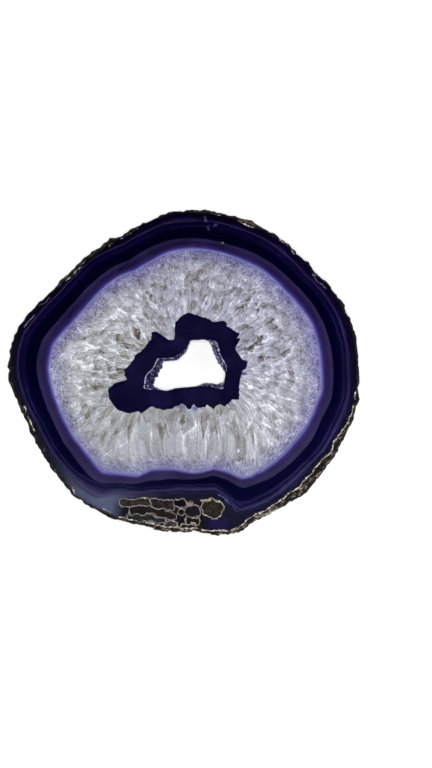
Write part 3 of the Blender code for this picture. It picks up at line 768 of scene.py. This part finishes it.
# %% Macro-crystalline quartz, polished
FACET_DEPTHS = (0, 0.15, 0.45, 1)  # shares of the way through the belt
FACETS = [  # size (mm), length over width, then strength at these depths
    (0.65, 1.3, (0.36, 0.3, 0.15, 0.1)),
    (1.0, 2.6, (0.02, 0.16, 0.24, 0.18)),
    (2.6, 1.9, (0.0, 0.04, 0.25, 0.29)),
]
FACET_LIGHTS = [(0.0, 0.86), (0.1, 0.68), (0.25, 0.6), (0.72, 0.54), (0.84, 0.4), (1.0, 0.12)]
# The second number sets how strongly each facet is painted with shade across it, as a tilted face lit from
# one side.
FACET_MIDDLE, FACET_SHADE_SLOPE = 0.55, 1.3
GRIT, CLOUD = 0.2, 0.06  # how much lighter or darker these make the quartz
# The lit edge beyond a window is a painted highlight.
VEIL_LIGHT, PAINTED_GLINT = 0.55, 0.4  # how much lighter a veil is, and the lit edge beyond a window
# A clear grain looks darker, and it is painted darker still towards one side, as painted shade.
WINDOW_SHADE = (-0.15, -0.48)  # how much darker a window is, from one side to the other
DYED_EDGE = [(0.0, 1.0), (0.08, 0.8), (0.2, 0.3), (0.35, 0.0), (1.0, 0.0)]  # how the dye fades inwards
NEUTRAL_QUARTZ = [
    (0.00, "#3f3a34"), (0.12, "#6d6861"), (0.26, "#888682"), (0.38, "#989999"), (0.50, "#a4a7aa"),
    (0.62, "#b5b8bd"), (0.76, "#c8cbd0"), (0.88, "#dfe1e6"), (1.00, "#f6f7fa"),
]
LAVENDER_QUARTZ = [
    (0.00, "#2c2824"), (0.12, "#58534c"), (0.26, "#777478"), (0.38, "#8a8898"), (0.50, "#9d9cb2"),
    (0.62, "#aeaec2"), (0.76, "#c2c3d4"), (0.88, "#dadae6"), (1.00, "#f4f4fa"),
]
GREY_EDGE = [(0.00, "#3c3a5e"), (0.25, "#5c5c7e"), (0.5, "#78799c"), (0.7, "#8f91ae"), (1.00, "#c4c5d8")]
VIOLET_EDGE = [(0.00, "#383468"), (0.25, "#55528a"), (0.5, "#7573ac"), (0.7, "#8d8bbd"), (1.00, "#c0c0dc")]


def facet_mosaic(tree, place, size, longer):
    """Crystal faces cut across: each Voronoi cell has a lightness of its own and a painted shade across it,
    lighter on one side and darker on the other as on a tilted face lit from one side, in a direction of its
    own that leans so that most cells brighten inwards. Returns that, around 0, and the distance from the
    nearest seam."""
    cells = add(tree, "Mapping", {"Vector": place, "Scale": (1 / size, 1 / size, 1 / (size * longer))})
    own = add(tree, "TexVoronoi", {"Vector": cells, "Scale": 1.0}, output="Color")
    inside = add(tree, "VectorMath", {0: cells, 1: own.node.outputs["Position"]}, operation="SUBTRACT")
    # Painted shade: within each cell the lightness slopes along a direction of its own, biased inwards.
    slope = add(tree, "VectorMath", {0: own, 1: (0.5, 0.5, 0.2)}, operation="SUBTRACT")
    slope = add(tree, "VectorMath", {0: inside, 1: slope}, operation="DOT_PRODUCT", output=1)
    light = add(tree, "SeparateColor", {0: own})
    light = add(tree, "FloatCurve", {"Value": light}, curve=FACET_LIGHTS)
    light = add(tree, "Math", {0: light, 1: FACET_MIDDLE}, operation="SUBTRACT")
    light = add(tree, "Math", {0: slope, 1: FACET_SHADE_SLOPE, 2: light}, operation="MULTIPLY_ADD")
    return light, add(tree, "TexVoronoi", {"Vector": cells, "Scale": 1.0}, feature="DISTANCE_TO_EDGE")


def mark(tree, name, wander, blunt):
    """How deep a point is inside the nearest listed mark, its place across it, and the mark's strength.
    The outline is max(|u|, |v| + blunt |u|) = 1, a long hexagon, with its points moved by noise."""
    stored = add(tree, "Attribute", attribute_name=name, output="Vector")
    moved = add(tree, "VectorMath", {0: stored, 1: wander}, operation="ADD")
    strength = add(tree, "SeparateXYZ", {0: stored}, output=2)
    sides = add(tree, "VectorMath", {0: moved}, operation="ABSOLUTE")
    along = add(tree, "SeparateXYZ", {0: sides}, output=0)
    across = along.node.outputs[1]
    rim = add(tree, "Math", {0: along, 1: blunt, 2: across}, operation="MULTIPLY_ADD")
    rim = add(tree, "Math", {0: rim, 1: along}, operation="MAXIMUM")
    return rim, add(tree, "SeparateXYZ", {0: moved}, output=1), strength


def quartz_mosaic():
    """Lightness is 0.5 plus milkiness, three sizes of facets with painted shade across them and seams, some
    of them painted highlights, grit, clouds, veils, and windows with painted shade on one side and a painted
    highlight beyond. Two pairs of ramps turn it into colour: the dyed edge of the belt and its inside, each
    in grey and in lavender, and the first line of the belt is violet."""
    material, tree, shader = new_material("macro-crystalline quartz, polished")
    position = add(tree, "TexCoord", output="Object")
    growth = add(tree, "Attribute", attribute_name="growth", output="Vector")
    share, milk, tint, bold = (add(tree, "Attribute", attribute_name=name, output="Fac")
                               for name in ("quartz", "milk", "tint", "bold"))
    bent = drift(tree, growth, 0.45, 2.0, 0.9)
    growth = add(tree, "VectorMath", {0: growth, 1: bent}, operation="ADD")
    patchy = add(tree, "TexNoise", {"Vector": growth, "Scale": 0.3, "Detail": 4.0, "Roughness": 0.6})
    # Seams are darker in some patches and lighter in others; the lighter seams are painted highlights.
    lit = add(tree, "MapRange", {"Value": patchy, "From Min": 0.42, "From Max": 0.58,
                                 "To Min": -0.5, "To Max": 0.7})

    light = add(tree, "Math", {0: milk, 1: 0.5}, operation="ADD")
    for size, longer, strengths in FACETS:
        facet, seam = facet_mosaic(tree, growth, size, longer)
        part = add(tree, "FloatCurve", {"Value": share}, curve=list(zip(FACET_DEPTHS, strengths)))
        part = add(tree, "Math", {0: part, 1: bold}, operation="MULTIPLY")
        light = add(tree, "Math", {0: facet, 1: part, 2: light}, operation="MULTIPLY_ADD")
        seam = add(tree, "MapRange", {"Value": seam, "From Min": 0.09, "From Max": 0.01})
        seam = add(tree, "Math", {0: seam, 1: lit}, operation="MULTIPLY")
        light = add(tree, "Math", {0: seam, 1: part, 2: light}, operation="MULTIPLY_ADD")

    grit = add(tree, "TexNoise", {"Vector": position, "Scale": per(0.55), "Detail": 2.0, "Roughness": 0.6})
    grit = add(tree, "MapRange", {"Value": grit, "From Min": 0.3, "From Max": 0.7,
                                  "To Min": -GRIT, "To Max": GRIT})
    gritty = add(tree, "MapRange", {"Value": share, "From Max": 0.4, "To Min": 1.0, "To Max": 0.5})
    light = add(tree, "Math", {0: grit, 1: gritty, 2: light}, operation="MULTIPLY_ADD")
    broad = add(tree, "MapRange", {"Value": patchy, "From Min": 0.3, "From Max": 0.7,
                                   "To Min": -CLOUD, "To Max": CLOUD})
    light = add(tree, "Math", {0: light, 1: broad}, operation="ADD")

    wander = drift(tree, position, per(1.5), 1.0, 2.0)
    rim, _, strength = mark(tree, "veil", wander, 0.9)
    inside = add(tree, "MapRange", {"Value": rim, "From Min": 1.15, "From Max": 0.6, "To Max": VEIL_LIGHT})
    light = add(tree, "Math", {0: inside, 1: strength, 2: light}, operation="MULTIPLY_ADD")
    rim, across, strength = mark(tree, "window", wander, 0.45)
    inside = add(tree, "MapRange", {"Value": rim, "From Min": 1.05, "From Max": 0.85})
    # Painted shade: each window darkens from one side to the other.
    shade = add(tree, "MapRange", {"Value": across, "From Min": -1.0, "From Max": 0.9,
                                   "To Min": WINDOW_SHADE[0], "To Max": WINDOW_SHADE[1]})
    inside = add(tree, "Math", {0: inside, 1: shade}, operation="MULTIPLY")
    light = add(tree, "Math", {0: inside, 1: strength, 2: light}, operation="MULTIPLY_ADD")
    # Painted highlight: a thin lit line just outside the window, on its lighter side.
    beyond = add(tree, "Math", {0: rim, 1: 1.3}, operation="SUBTRACT")
    beyond = add(tree, "Math", {0: beyond}, operation="ABSOLUTE")
    beyond = add(tree, "MapRange", {"Value": beyond, "From Min": 0.25, "From Max": 0.05})
    painted_glint = add(tree, "MapRange", {"Value": across, "From Min": 0.1, "From Max": -0.9, "To Max": PAINTED_GLINT})
    beyond = add(tree, "Math", {0: beyond, 1: painted_glint}, operation="MULTIPLY")
    light = add(tree, "Math", {0: beyond, 1: strength, 2: light}, operation="MULTIPLY_ADD")

    neutral = add(tree, "ValToRGB", {0: light}, stops=NEUTRAL_QUARTZ)
    lavender = add(tree, "ValToRGB", {0: light}, stops=LAVENDER_QUARTZ)
    inner = add(tree, "Mix", {0: tint, 6: neutral, 7: lavender}, output=2, data_type="RGBA")
    grey = add(tree, "ValToRGB", {0: light}, stops=GREY_EDGE)
    violet = add(tree, "ValToRGB", {0: light}, stops=VIOLET_EDGE)
    outer = add(tree, "Mix", {0: tint, 6: grey, 7: violet}, output=2, data_type="RGBA")
    dyed = add(tree, "FloatCurve", {"Value": share}, curve=DYED_EDGE)
    colour = add(tree, "Mix", {0: dyed, 6: inner, 7: outer}, output=2, data_type="RGBA")
    start_of = add(tree, "MapRange", {"Value": share, "From Max": 0.035, "To Min": 1.0, "To Max": 0.0})
    glow = add(tree, "ValToRGB", {0: start_of}, stops=[(0.0, "#8583c0"), (0.5, "#7673b4"), (1.0, "#544ca0")])
    colour = add(tree, "Mix", {0: start_of, 6: colour, 7: glow}, output=2, data_type="RGBA")
    dye = add(tree, "Attribute", attribute_name="dye", output="Fac")
    colour = add(tree, "Mix", {0: dye, 6: colour, 7: linear("#3f3d8e")}, output=2, data_type="RGBA")
    gloss = add(tree, "MapRange", {"Value": light, "To Min": 0.12, "To Max": 0.25})
    fill(shader, {"Base Color": colour, "Roughness": gloss, "IOR": 1.544})
    return material


# %% [markdown]
# The last layer is dense chalcedony again, which drank so much dye that it looks black until light shines
# through it. Its broken edge round the hollow shows as a thin lilac line, partly its own pale scatter and
# partly a painted highlight, strongest where the edge catches the light.

# %% Dyed chalcedony of the dark ring
# The lilac line along the hollow is a painted highlight, strongest at these angles.
PAINTED_EDGE_HIGHLIGHT = [  # where the edge of the hollow catches the light, by angle
    (-180, 0.9), (-150, 0.8), (-125, 0.25), (-80, 0.1), (-66, 0.7), (-40, 0.9), (-25, 0.5), (0, 0.9),
    (50, 0.9), (62, 0.3), (75, 0.2), (90, 0.3), (110, 0.8), (150, 0.8), (168, 0.9),
]
attributes["painted_edge_highlight"] = np.broadcast_to(around(PAINTED_EDGE_HIGHLIGHT, end, 3.0), depth.shape)


def dark_chalcedony():
    """Near-black violet with faint clouds, and a lilac line close to the hollow, painted as a highlight."""
    material, tree, shader = new_material("dyed chalcedony, polished")
    position = add(tree, "TexCoord", output="Object")
    cloud = add(tree, "TexNoise", {"Vector": position, "Scale": per(7.0), "Detail": 3.0})
    colour = add(tree, "ValToRGB", {0: cloud}, stops=[(0.3, "#060422"), (0.5, "#090728"), (0.7, "#120b36")])
    hollow = add(tree, "Attribute", attribute_name="from_hollow", output="Fac")
    lit = add(tree, "Attribute", attribute_name="painted_edge_highlight", output="Fac")
    broken = add(tree, "TexNoise", {"Vector": position, "Scale": per(1.3), "Detail": 3.0})
    near = add(tree, "Math", {0: broken, 1: 0.9, 2: hollow}, operation="MULTIPLY_ADD")
    near = add(tree, "MapRange", {"Value": near, "From Min": 0.64, "From Max": 0.52})
    # Painted highlight: the lilac line is strongest where the edge catches the light.
    near = add(tree, "Math", {0: near, 1: lit}, operation="MULTIPLY")
    colour = add(tree, "Mix", {0: near, 6: colour, 7: linear("#e4dff6")}, output=2, data_type="RGBA")
    gloss = add(tree, "MapRange", {"Value": cloud, "To Min": 0.1, "To Max": 0.18})
    fill(shader, {"Base Color": colour, "Roughness": gloss, "IOR": 1.54})
    return material


# %% [markdown]
# The rind is the nodule's own skin, with soil and a chalky crust in its pits. It is matt and mottled from
# brown-black to beige. Noise of two sizes gives the mottling, and the same noise drives a bump for the grit.

# %% Weathered rind
def weathered_rind():
    """Brown-black skin with beige crust where coarse and fine noise are both high."""
    material, tree, shader = new_material("weathered agate rind")
    position = add(tree, "TexCoord", output="Object")
    skin = add(tree, "Attribute", attribute_name="skin", output="Fac")
    coarse = add(tree, "TexNoise", {"Vector": position, "Scale": per(3.0), "Detail": 5.0, "Roughness": 0.65})
    grit = add(tree, "TexNoise", {"Vector": position, "Scale": per(0.7), "Detail": 3.0})
    mottle = add(tree, "Math", {0: grit, 1: 0.35, 2: coarse}, operation="MULTIPLY_ADD")
    mottle = add(tree, "Math", {0: skin, 1: 0.13, 2: mottle}, operation="MULTIPLY_ADD")
    colour = add(tree, "ValToRGB", {0: mottle}, stops=[
        (0.6, "#070508"), (0.74, "#110d0f"), (0.8, "#221c1b"), (0.85, "#463e38"), (0.9, "#80776b"),
        (0.97, "#b8b0a3")])
    bump = add(tree, "Bump", {"Height": mottle, "Strength": 0.7, "Distance": 0.4 * MM})
    fill(shader, {"Base Color": colour, "Roughness": 0.9, "IOR": 1.5, "Specular IOR Level": 0.15,
                  "Normal": bump})
    return material


# %% [markdown]
# Now the stone can be made. Faces take their material from the zone of the row that they start from. The sawn
# faces are shaded flat, the wall and the rind smoothly.

# %% The stone
ZONES = ["agate", "quartz", "ring", "wall", "rind"]
FRONT_MAP = (0.004, 0.004, 0.625)  # left, bottom and side of the front face in the baking map
BACK_MAP = (0.637, 0.004, 0.359)
RIND_MAP = (0.004, 0.645, 0.992, 0.16)  # left, bottom, width and height of two strips, one over the other
WALL_MAP = (0.637, 0.38, 0.359, 0.05)
STRIP_FILL = 0.95  # a strip fills this much of its height, which keeps it apart from the next

quads, rows_at, columns_at = ring_quads(len(rows), COLUMNS)
zone_of_row = np.array([ZONES.index(zone) for zone in zones])
wall_first, back_first, rind_first = np.cumsum([len(front), len(wall), len(back)])
zone_of_row[wall_first - 1] = ZONES.index("wall")  # the chamfer belongs to the wall
zone_of_row[rind_first - 1] = ZONES.index("rind")
for zone in ("agate", "quartz"):  # on the way out a face belongs to the zone that it leads into
    inner_rows = np.arange(back_first, rind_first - 1)
    leads_into = inner_rows[zones[inner_rows + 1] == zone]
    zone_of_row[leads_into] = ZONES.index(zone)
zone_of_face = zone_of_row[rows_at[:, 0]]
material_of_zone = np.array([0, 1, 2, 2, 3])  # ring and wall share the dark chalcedony

stone_materials = [banded_agate(), quartz_mosaic(), dark_chalcedony(), weathered_rind()]
agate = make_piece("agate_slice", points.reshape(-1, 3), quads, stone_materials,
                   material_of_zone[zone_of_face], zone_of_face >= ZONES.index("wall"))
add_attributes(agate.data, attributes)


def baking_map():
    """UV of every corner: the sawn faces as seen from above, the rind and the wall as strips."""
    across = points.reshape(-1, 3)[quads][..., :2]
    low = across.min(axis=(0, 1))
    side = np.ptp(across.reshape(-1, 2), axis=0).max()
    flat = (across - low) / side
    facing_up = (rows_at[:, :1] < wall_first - 1)[..., None]
    uv_front, uv_back = (np.array(box[:2]) + flat * box[2] for box in (FRONT_MAP, BACK_MAP))
    uv = np.where(facing_up, uv_front, uv_back)
    for zone, first, count, box, strips in (
        ("wall", wall_first - 1, len(wall) + 1, WALL_MAP, 1),
        ("rind", rind_first - 1, len(rind) + 1, RIND_MAP, 2),
    ):
        left, bottom, width, tall = box
        period = COLUMNS // strips
        strip = columns_at[:, :1] // period
        u = left + width * (columns_at - strip * period) / period
        v = bottom + tall / strips * (strip + STRIP_FILL * (rows_at - first) / count)
        chosen = zone_of_face == ZONES.index(zone)
        uv[chosen] = np.stack([u, v], -1)[chosen]
    return uv


layer = agate.data.uv_layers.new(name="OFBake")
layer.data.foreach_set("uv", baking_map().astype(np.float32).ravel())
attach(agate, "root")
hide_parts("slice")
print("stone", len(agate.data.polygons), "quads, materials", [m.name for m in agate.data.materials])

# %% [markdown]
# The hollow is lined with a crust of small quartz points, dyed with the rest. The crust is one body that
# hugs the wall, closed like the stone, with hundreds of six-sided crystals rooted in it. Each crystal is a
# prism with a point, of two dozen faces, and all are placed as arrays.

# %% The crystal crust
CRUST_COLUMNS = 360
CRUST_THICKNESS = 0.8
CRUST_GAP = 0.04  # between the crust's back and the wall
CRUST_LUMPS = (0.9, 0.06)  # size and height
BEHIND_ROWS, CRUST_ROWS = 6, 9  # rows of the crust's back and of its front
TOP_REACH = 4  # the highest corner of the solid crust within this many degrees is its top
CRYSTALS = (112, 7)  # round the hollow and down its wall
ROOT_ROOM = (0.2, 0.3)  # the roots keep this far from the crust's foot and from its top
ROOT_DEPTH = 0.35  # how deep in the crust a crystal is rooted
SLOPE_STEP = 0.3  # the slope of the wall is measured this far above and below a root
TILT = 0.35  # spread of the crystals' lean away from the wall's own direction
CRYSTAL_RADII, CRYSTAL_HEIGHTS = (0.28, 0.62), (0.45, 1.0)
SHOULDER, TAPER = 0.55, 0.94  # share of a crystal's height at which its point starts, and its width there
BELOW_FACE = 0.05  # crystals stay this far below the sawn face
chance = np.random.default_rng(5)

crust_corners = corners_of("druzy_crust")
crust_angles = np.linspace(-180, 180, CRUST_COLUMNS, endpoint=False)
apart = np.abs((crust_corners[0] - crust_angles[:, None] + 180) % 360 - 180)
tops = np.where(apart < TOP_REACH, crust_corners[2], 0).max(axis=1)
crust_floor = crust_corners[2].min()


def crust_top(angles):
    """Height of the crust's top at each angle."""
    return np.interp(angles, crust_angles, tops, period=360)


def wall_at(angles, heights):
    """Radius of the stone's wall at each pair of angle and height."""
    rings = np.array([ring_of(stone, level, *WALL_SPAN, angles) for level in WALL_LEVELS])
    return at_heights(rings, WALL_LEVELS, heights)


crust_rows = []
for share, thick in ([(share, CRUST_GAP) for share in np.linspace(0, 1, BEHIND_ROWS)]
                     + [(share, CRUST_THICKNESS) for share in np.linspace(1, 0, CRUST_ROWS)]):
    heights = crust_floor + share * (crust_top(crust_angles) - crust_floor)
    radii = wall_at(crust_angles, heights) - thick
    crust_rows.append(in_space(np.radians(crust_angles), radii, heights))
crust_points = np.array(crust_rows)
bumpy = lumps(crust_points, CRUST_LUMPS[0])[..., None] * CRUST_LUMPS[1]
bumpy[:BEHIND_ROWS] = 0
crust_points = crust_points + bumpy * np.array([1, 1, 0])


def crystal():
    """A six-sided prism with a point: a ring of radius 1 at height 0, a narrower one at the shoulder,
    and middles at heights 0 and 1."""
    turn = np.radians(np.arange(6) * 60)
    ring = np.stack([np.cos(turn), np.sin(turn)], -1)
    low = np.column_stack([ring, np.zeros(6)])
    high = np.column_stack([ring * TAPER, np.full(6, SHOULDER)])
    i, j = np.arange(6), (np.arange(6) + 1) % 6
    faces = np.concatenate([
        np.stack([i, j, j + 6], -1), np.stack([i, j + 6, i + 6], -1),
        np.stack([i + 6, j + 6, np.full(6, 12)], -1), np.stack([j, i, np.full(6, 13)], -1),
    ])
    return np.concatenate([low, high, [[0, 0, 1.0], [0, 0, 0]]]), faces


across, down = CRYSTALS
count = across * down
root_angle = np.repeat(np.arange(across), down) + chance.uniform(-0.5, 0.5, count)
root_angle = root_angle * 360 / across - 180
root_share = (np.tile(np.arange(down), across) + chance.uniform(0.1, 0.9, count)) / down
root_span = crust_top(root_angle) - crust_floor - sum(ROOT_ROOM)
root_height = crust_floor + ROOT_ROOM[0] + root_share * root_span
root_radius = wall_at(root_angle, root_height) - CRUST_THICKNESS + ROOT_DEPTH
slope = wall_at(root_angle, root_height + SLOPE_STEP) - wall_at(root_angle, root_height - SLOPE_STEP)
roots = in_space(np.radians(root_angle), root_radius, root_height)
tilt = chance.normal(0, TILT, (3, count))
inwards = [-np.cos(np.radians(root_angle)), -np.sin(np.radians(root_angle)), slope / (2 * SLOPE_STEP)]
axis = np.stack(inwards, -1) + tilt.T
axis = axis / np.linalg.norm(axis, axis=1, keepdims=True)
side = np.cross(axis, [0.3, 0.2, 1.0])
side = side / np.linalg.norm(side, axis=1, keepdims=True)
other = np.cross(axis, side)
wide = chance.uniform(*CRYSTAL_RADII, count)
tall = ROOT_DEPTH + chance.uniform(*CRYSTAL_HEIGHTS, count)
template, crystal_faces = crystal()
frames = np.stack([side * wide[:, None], other * wide[:, None], axis * tall[:, None]], 1)
grown = roots[:, None, :] + np.einsum("vk,nkx->nvx", template, frames)
grown[..., 2] = np.clip(grown[..., 2], crust_floor, THICKNESS - BELOW_FACE)

body_quads = ring_quads(*crust_points.shape[:2])[0][:, ::-1]
body_triangles = np.concatenate([body_quads[:, [0, 1, 2]], body_quads[:, [0, 2, 3]]])
all_faces = crystal_faces[None] + len(template) * np.arange(len(grown))[:, None, None]
all_faces = all_faces.reshape(-1, 3) + crust_points.size // 3
crust_vertices = np.concatenate([crust_points.reshape(-1, 3), grown.reshape(-1, 3)])
print("crust", len(grown), "crystals, tallest", tall.max().round(2), "mm")

# %% [markdown]
# Druse crystals are clear quartz over dark stone, tinted by the dye, with glassy faces. Some transmission
# with the refractive index of quartz lets light into them. Those near the front face and on the upper right
# wall carry painted light, and the lightest cells are painted lilac to white as glints.

# %% Druzy quartz
def druzy_quartz():
    """Violet glass: each cell of 0.5 mm has a lightness of its own, raised by painted light near the front
    face and towards the upper right, and a ramp from deep violet to lilac turns it into colour. The lightest
    cells become lilac to white, as painted glints."""
    material, tree, shader = new_material("druzy quartz, dyed")
    position = add(tree, "TexCoord", output="Object")
    cell = add(tree, "TexVoronoi", {"Vector": position, "Scale": per(0.5)}, output="Color")
    cell = add(tree, "SeparateColor", {0: cell})
    height = add(tree, "SeparateXYZ", {0: position}, output=2)
    # Painted light: crystals near the front face are lighter.
    high = add(tree, "MapRange", {"Value": height, "From Min": 5.2 * MM, "From Max": 6.4 * MM})
    light = add(tree, "Math", {0: high, 1: 0.08, 2: cell}, operation="MULTIPLY_ADD")
    # Painted light: the upper right wall is lighter.
    to_right = add(tree, "SeparateXYZ", {0: position}, output=0)
    upper = add(tree, "MapRange", {"Value": to_right.node.outputs[1], "From Min": -4 * MM,
                                   "From Max": -1 * MM})
    to_right = add(tree, "MapRange", {"Value": to_right, "From Min": 6 * MM, "From Max": 11 * MM,
                                      "To Max": 0.14})
    light = add(tree, "Math", {0: to_right, 1: upper, 2: light}, operation="MULTIPLY_ADD")
    light = add(tree, "Math", {0: light, 1: 0.77}, operation="MULTIPLY")
    # The top of the ramp, lilac to white, is painted glints.
    colour = add(tree, "ValToRGB", {0: light}, stops=[
        (0.0, "#0a0530"), (0.5, "#12084c"), (0.67, "#1e1268"), (0.73, "#4a3bb0"), (0.78, "#b4aee8"),
        (1.0, "#f4f2fe")])
    fill(shader, {"Base Color": colour, "Roughness": 0.12, "IOR": 1.544, "Transmission Weight": 0.35})
    return material


crust_faces = np.concatenate([body_triangles, all_faces])
crust = make_piece("druzy_lining", crust_vertices, crust_faces, [druzy_quartz()])
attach(crust, "root")
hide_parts("druzy_crust")
print("crust", len(crust.data.polygons), "triangles")

# %% [markdown]
# The slab lies on a plain pale floor: a flat sheet of matt board with the faintest unevenness. It gives off a
# little light of its own, as a light table does, because the ground of the photograph is pure white.

# %% Floor
FLOOR_HALF = 4000.0  # half the side of the board, in millimetres
FLOOR_ROOM = 0.02  # it lies this far under the slab
BOARD_GLOW = 0.14


def matt_board():
    """Pale board with a faint, broad cloud in its lightness and a little glow."""
    material, tree, shader = new_material("matt white board")
    position = add(tree, "TexCoord", output="Object")
    cloud = add(tree, "TexNoise", {"Vector": position, "Scale": per(90.0)})
    colour = add(tree, "ValToRGB", {0: cloud}, stops=[(0.3, "#f8f8f8"), (0.7, "#fbfbfb")])
    fill(shader, {"Base Color": colour, "Roughness": 0.9, "Emission Color": linear("#ffffff"),
                  "Emission Strength": BOARD_GLOW})
    return material


corner_signs = np.array([(-1, -1), (1, -1), (1, 1), (-1, 1)])
floor_corners = np.column_stack([corner_signs * FLOOR_HALF, np.full(4, -FLOOR_ROOM)])
studio_floor = make_piece("studio_floor", floor_corners, np.array([[0, 1, 2, 3]]), [matt_board()])

# %% [markdown]
# The light is that of a copy stand: one soft light straight above, so that the hollow is lit to the floor and
# no shadow shows, and weaker ones at the sides for the rind. None of them is mirrored, because the polished
# face would show them as glare and its blacks would turn grey. The sky is dark overhead and pale near the
# horizon, as in a studio with light walls.

# %% Light
LIGHTS = [  # name, place and side in metres, watts
    ("overhead", (0.012, -0.004, 1.6), 0.45, 21.0), ("left_window", (-1.3, 0.5, 0.9), 0.8, 5.0),
    ("right_window", (1.3, 0.3, 0.9), 0.8, 4.5), ("front_window", (0.1, -1.4, 0.7), 0.8, 3.5),
]
SKY = [(0.0, "#e4e4e6"), (0.2, "#8c8c92"), (0.4, "#37373b"), (0.6, "#121214")]  # from the horizon up
SKY_STRENGTH = 0.45

for name, place, lamp_side, watts in LIGHTS:
    lamp = bpy.data.lights.new(name, "AREA")
    lamp.size, lamp.energy = lamp_side, watts
    holder = bpy.data.objects.new(name, lamp)
    holder.location = place
    holder.rotation_euler = (-holder.location).to_track_quat("-Z", "Y").to_euler()
    holder.visible_glossy = False
    bpy.context.scene.collection.objects.link(holder)
    print("light", name, watts, "W")

world = bpy.data.worlds.new("studio")
world.use_nodes = True
sky = world.node_tree
direction = add(sky, "TexCoord", output="Generated")
up = add(sky, "SeparateXYZ", {0: direction}, output=2)
glow = add(sky, "ValToRGB", {0: up}, stops=SKY)
fill(sky.nodes["Background"], {"Color": glow, "Strength": SKY_STRENGTH})
bpy.context.scene.world = world
bpy.context.scene.view_settings.view_transform = "Standard"

# %% [markdown]
# The camera looks straight down from about 0.87 m. The frame's long side covers 284 mm of the front face, and
# the slab lies left of its middle and above it, as in the photograph.

# %% Camera
VIEW_LONG_SIDE = 284.16
VIEW_MIDDLE = (12.13, -4.26)
LENS, SENSOR = 110.0, 36.0

lens = bpy.data.cameras.new("camera")
lens.lens, lens.sensor_width = LENS, SENSOR
lens.clip_start, lens.clip_end = 0.05, 20.0
camera = bpy.data.objects.new("camera", lens)
distance = VIEW_LONG_SIDE * LENS / SENSOR
camera.location = (VIEW_MIDDLE[0] * MM, VIEW_MIDDLE[1] * MM, (THICKNESS + distance) * MM)
bpy.context.scene.collection.objects.link(camera)
bpy.context.scene.camera = camera
print("camera at", [round(value, 4) for value in camera.location])
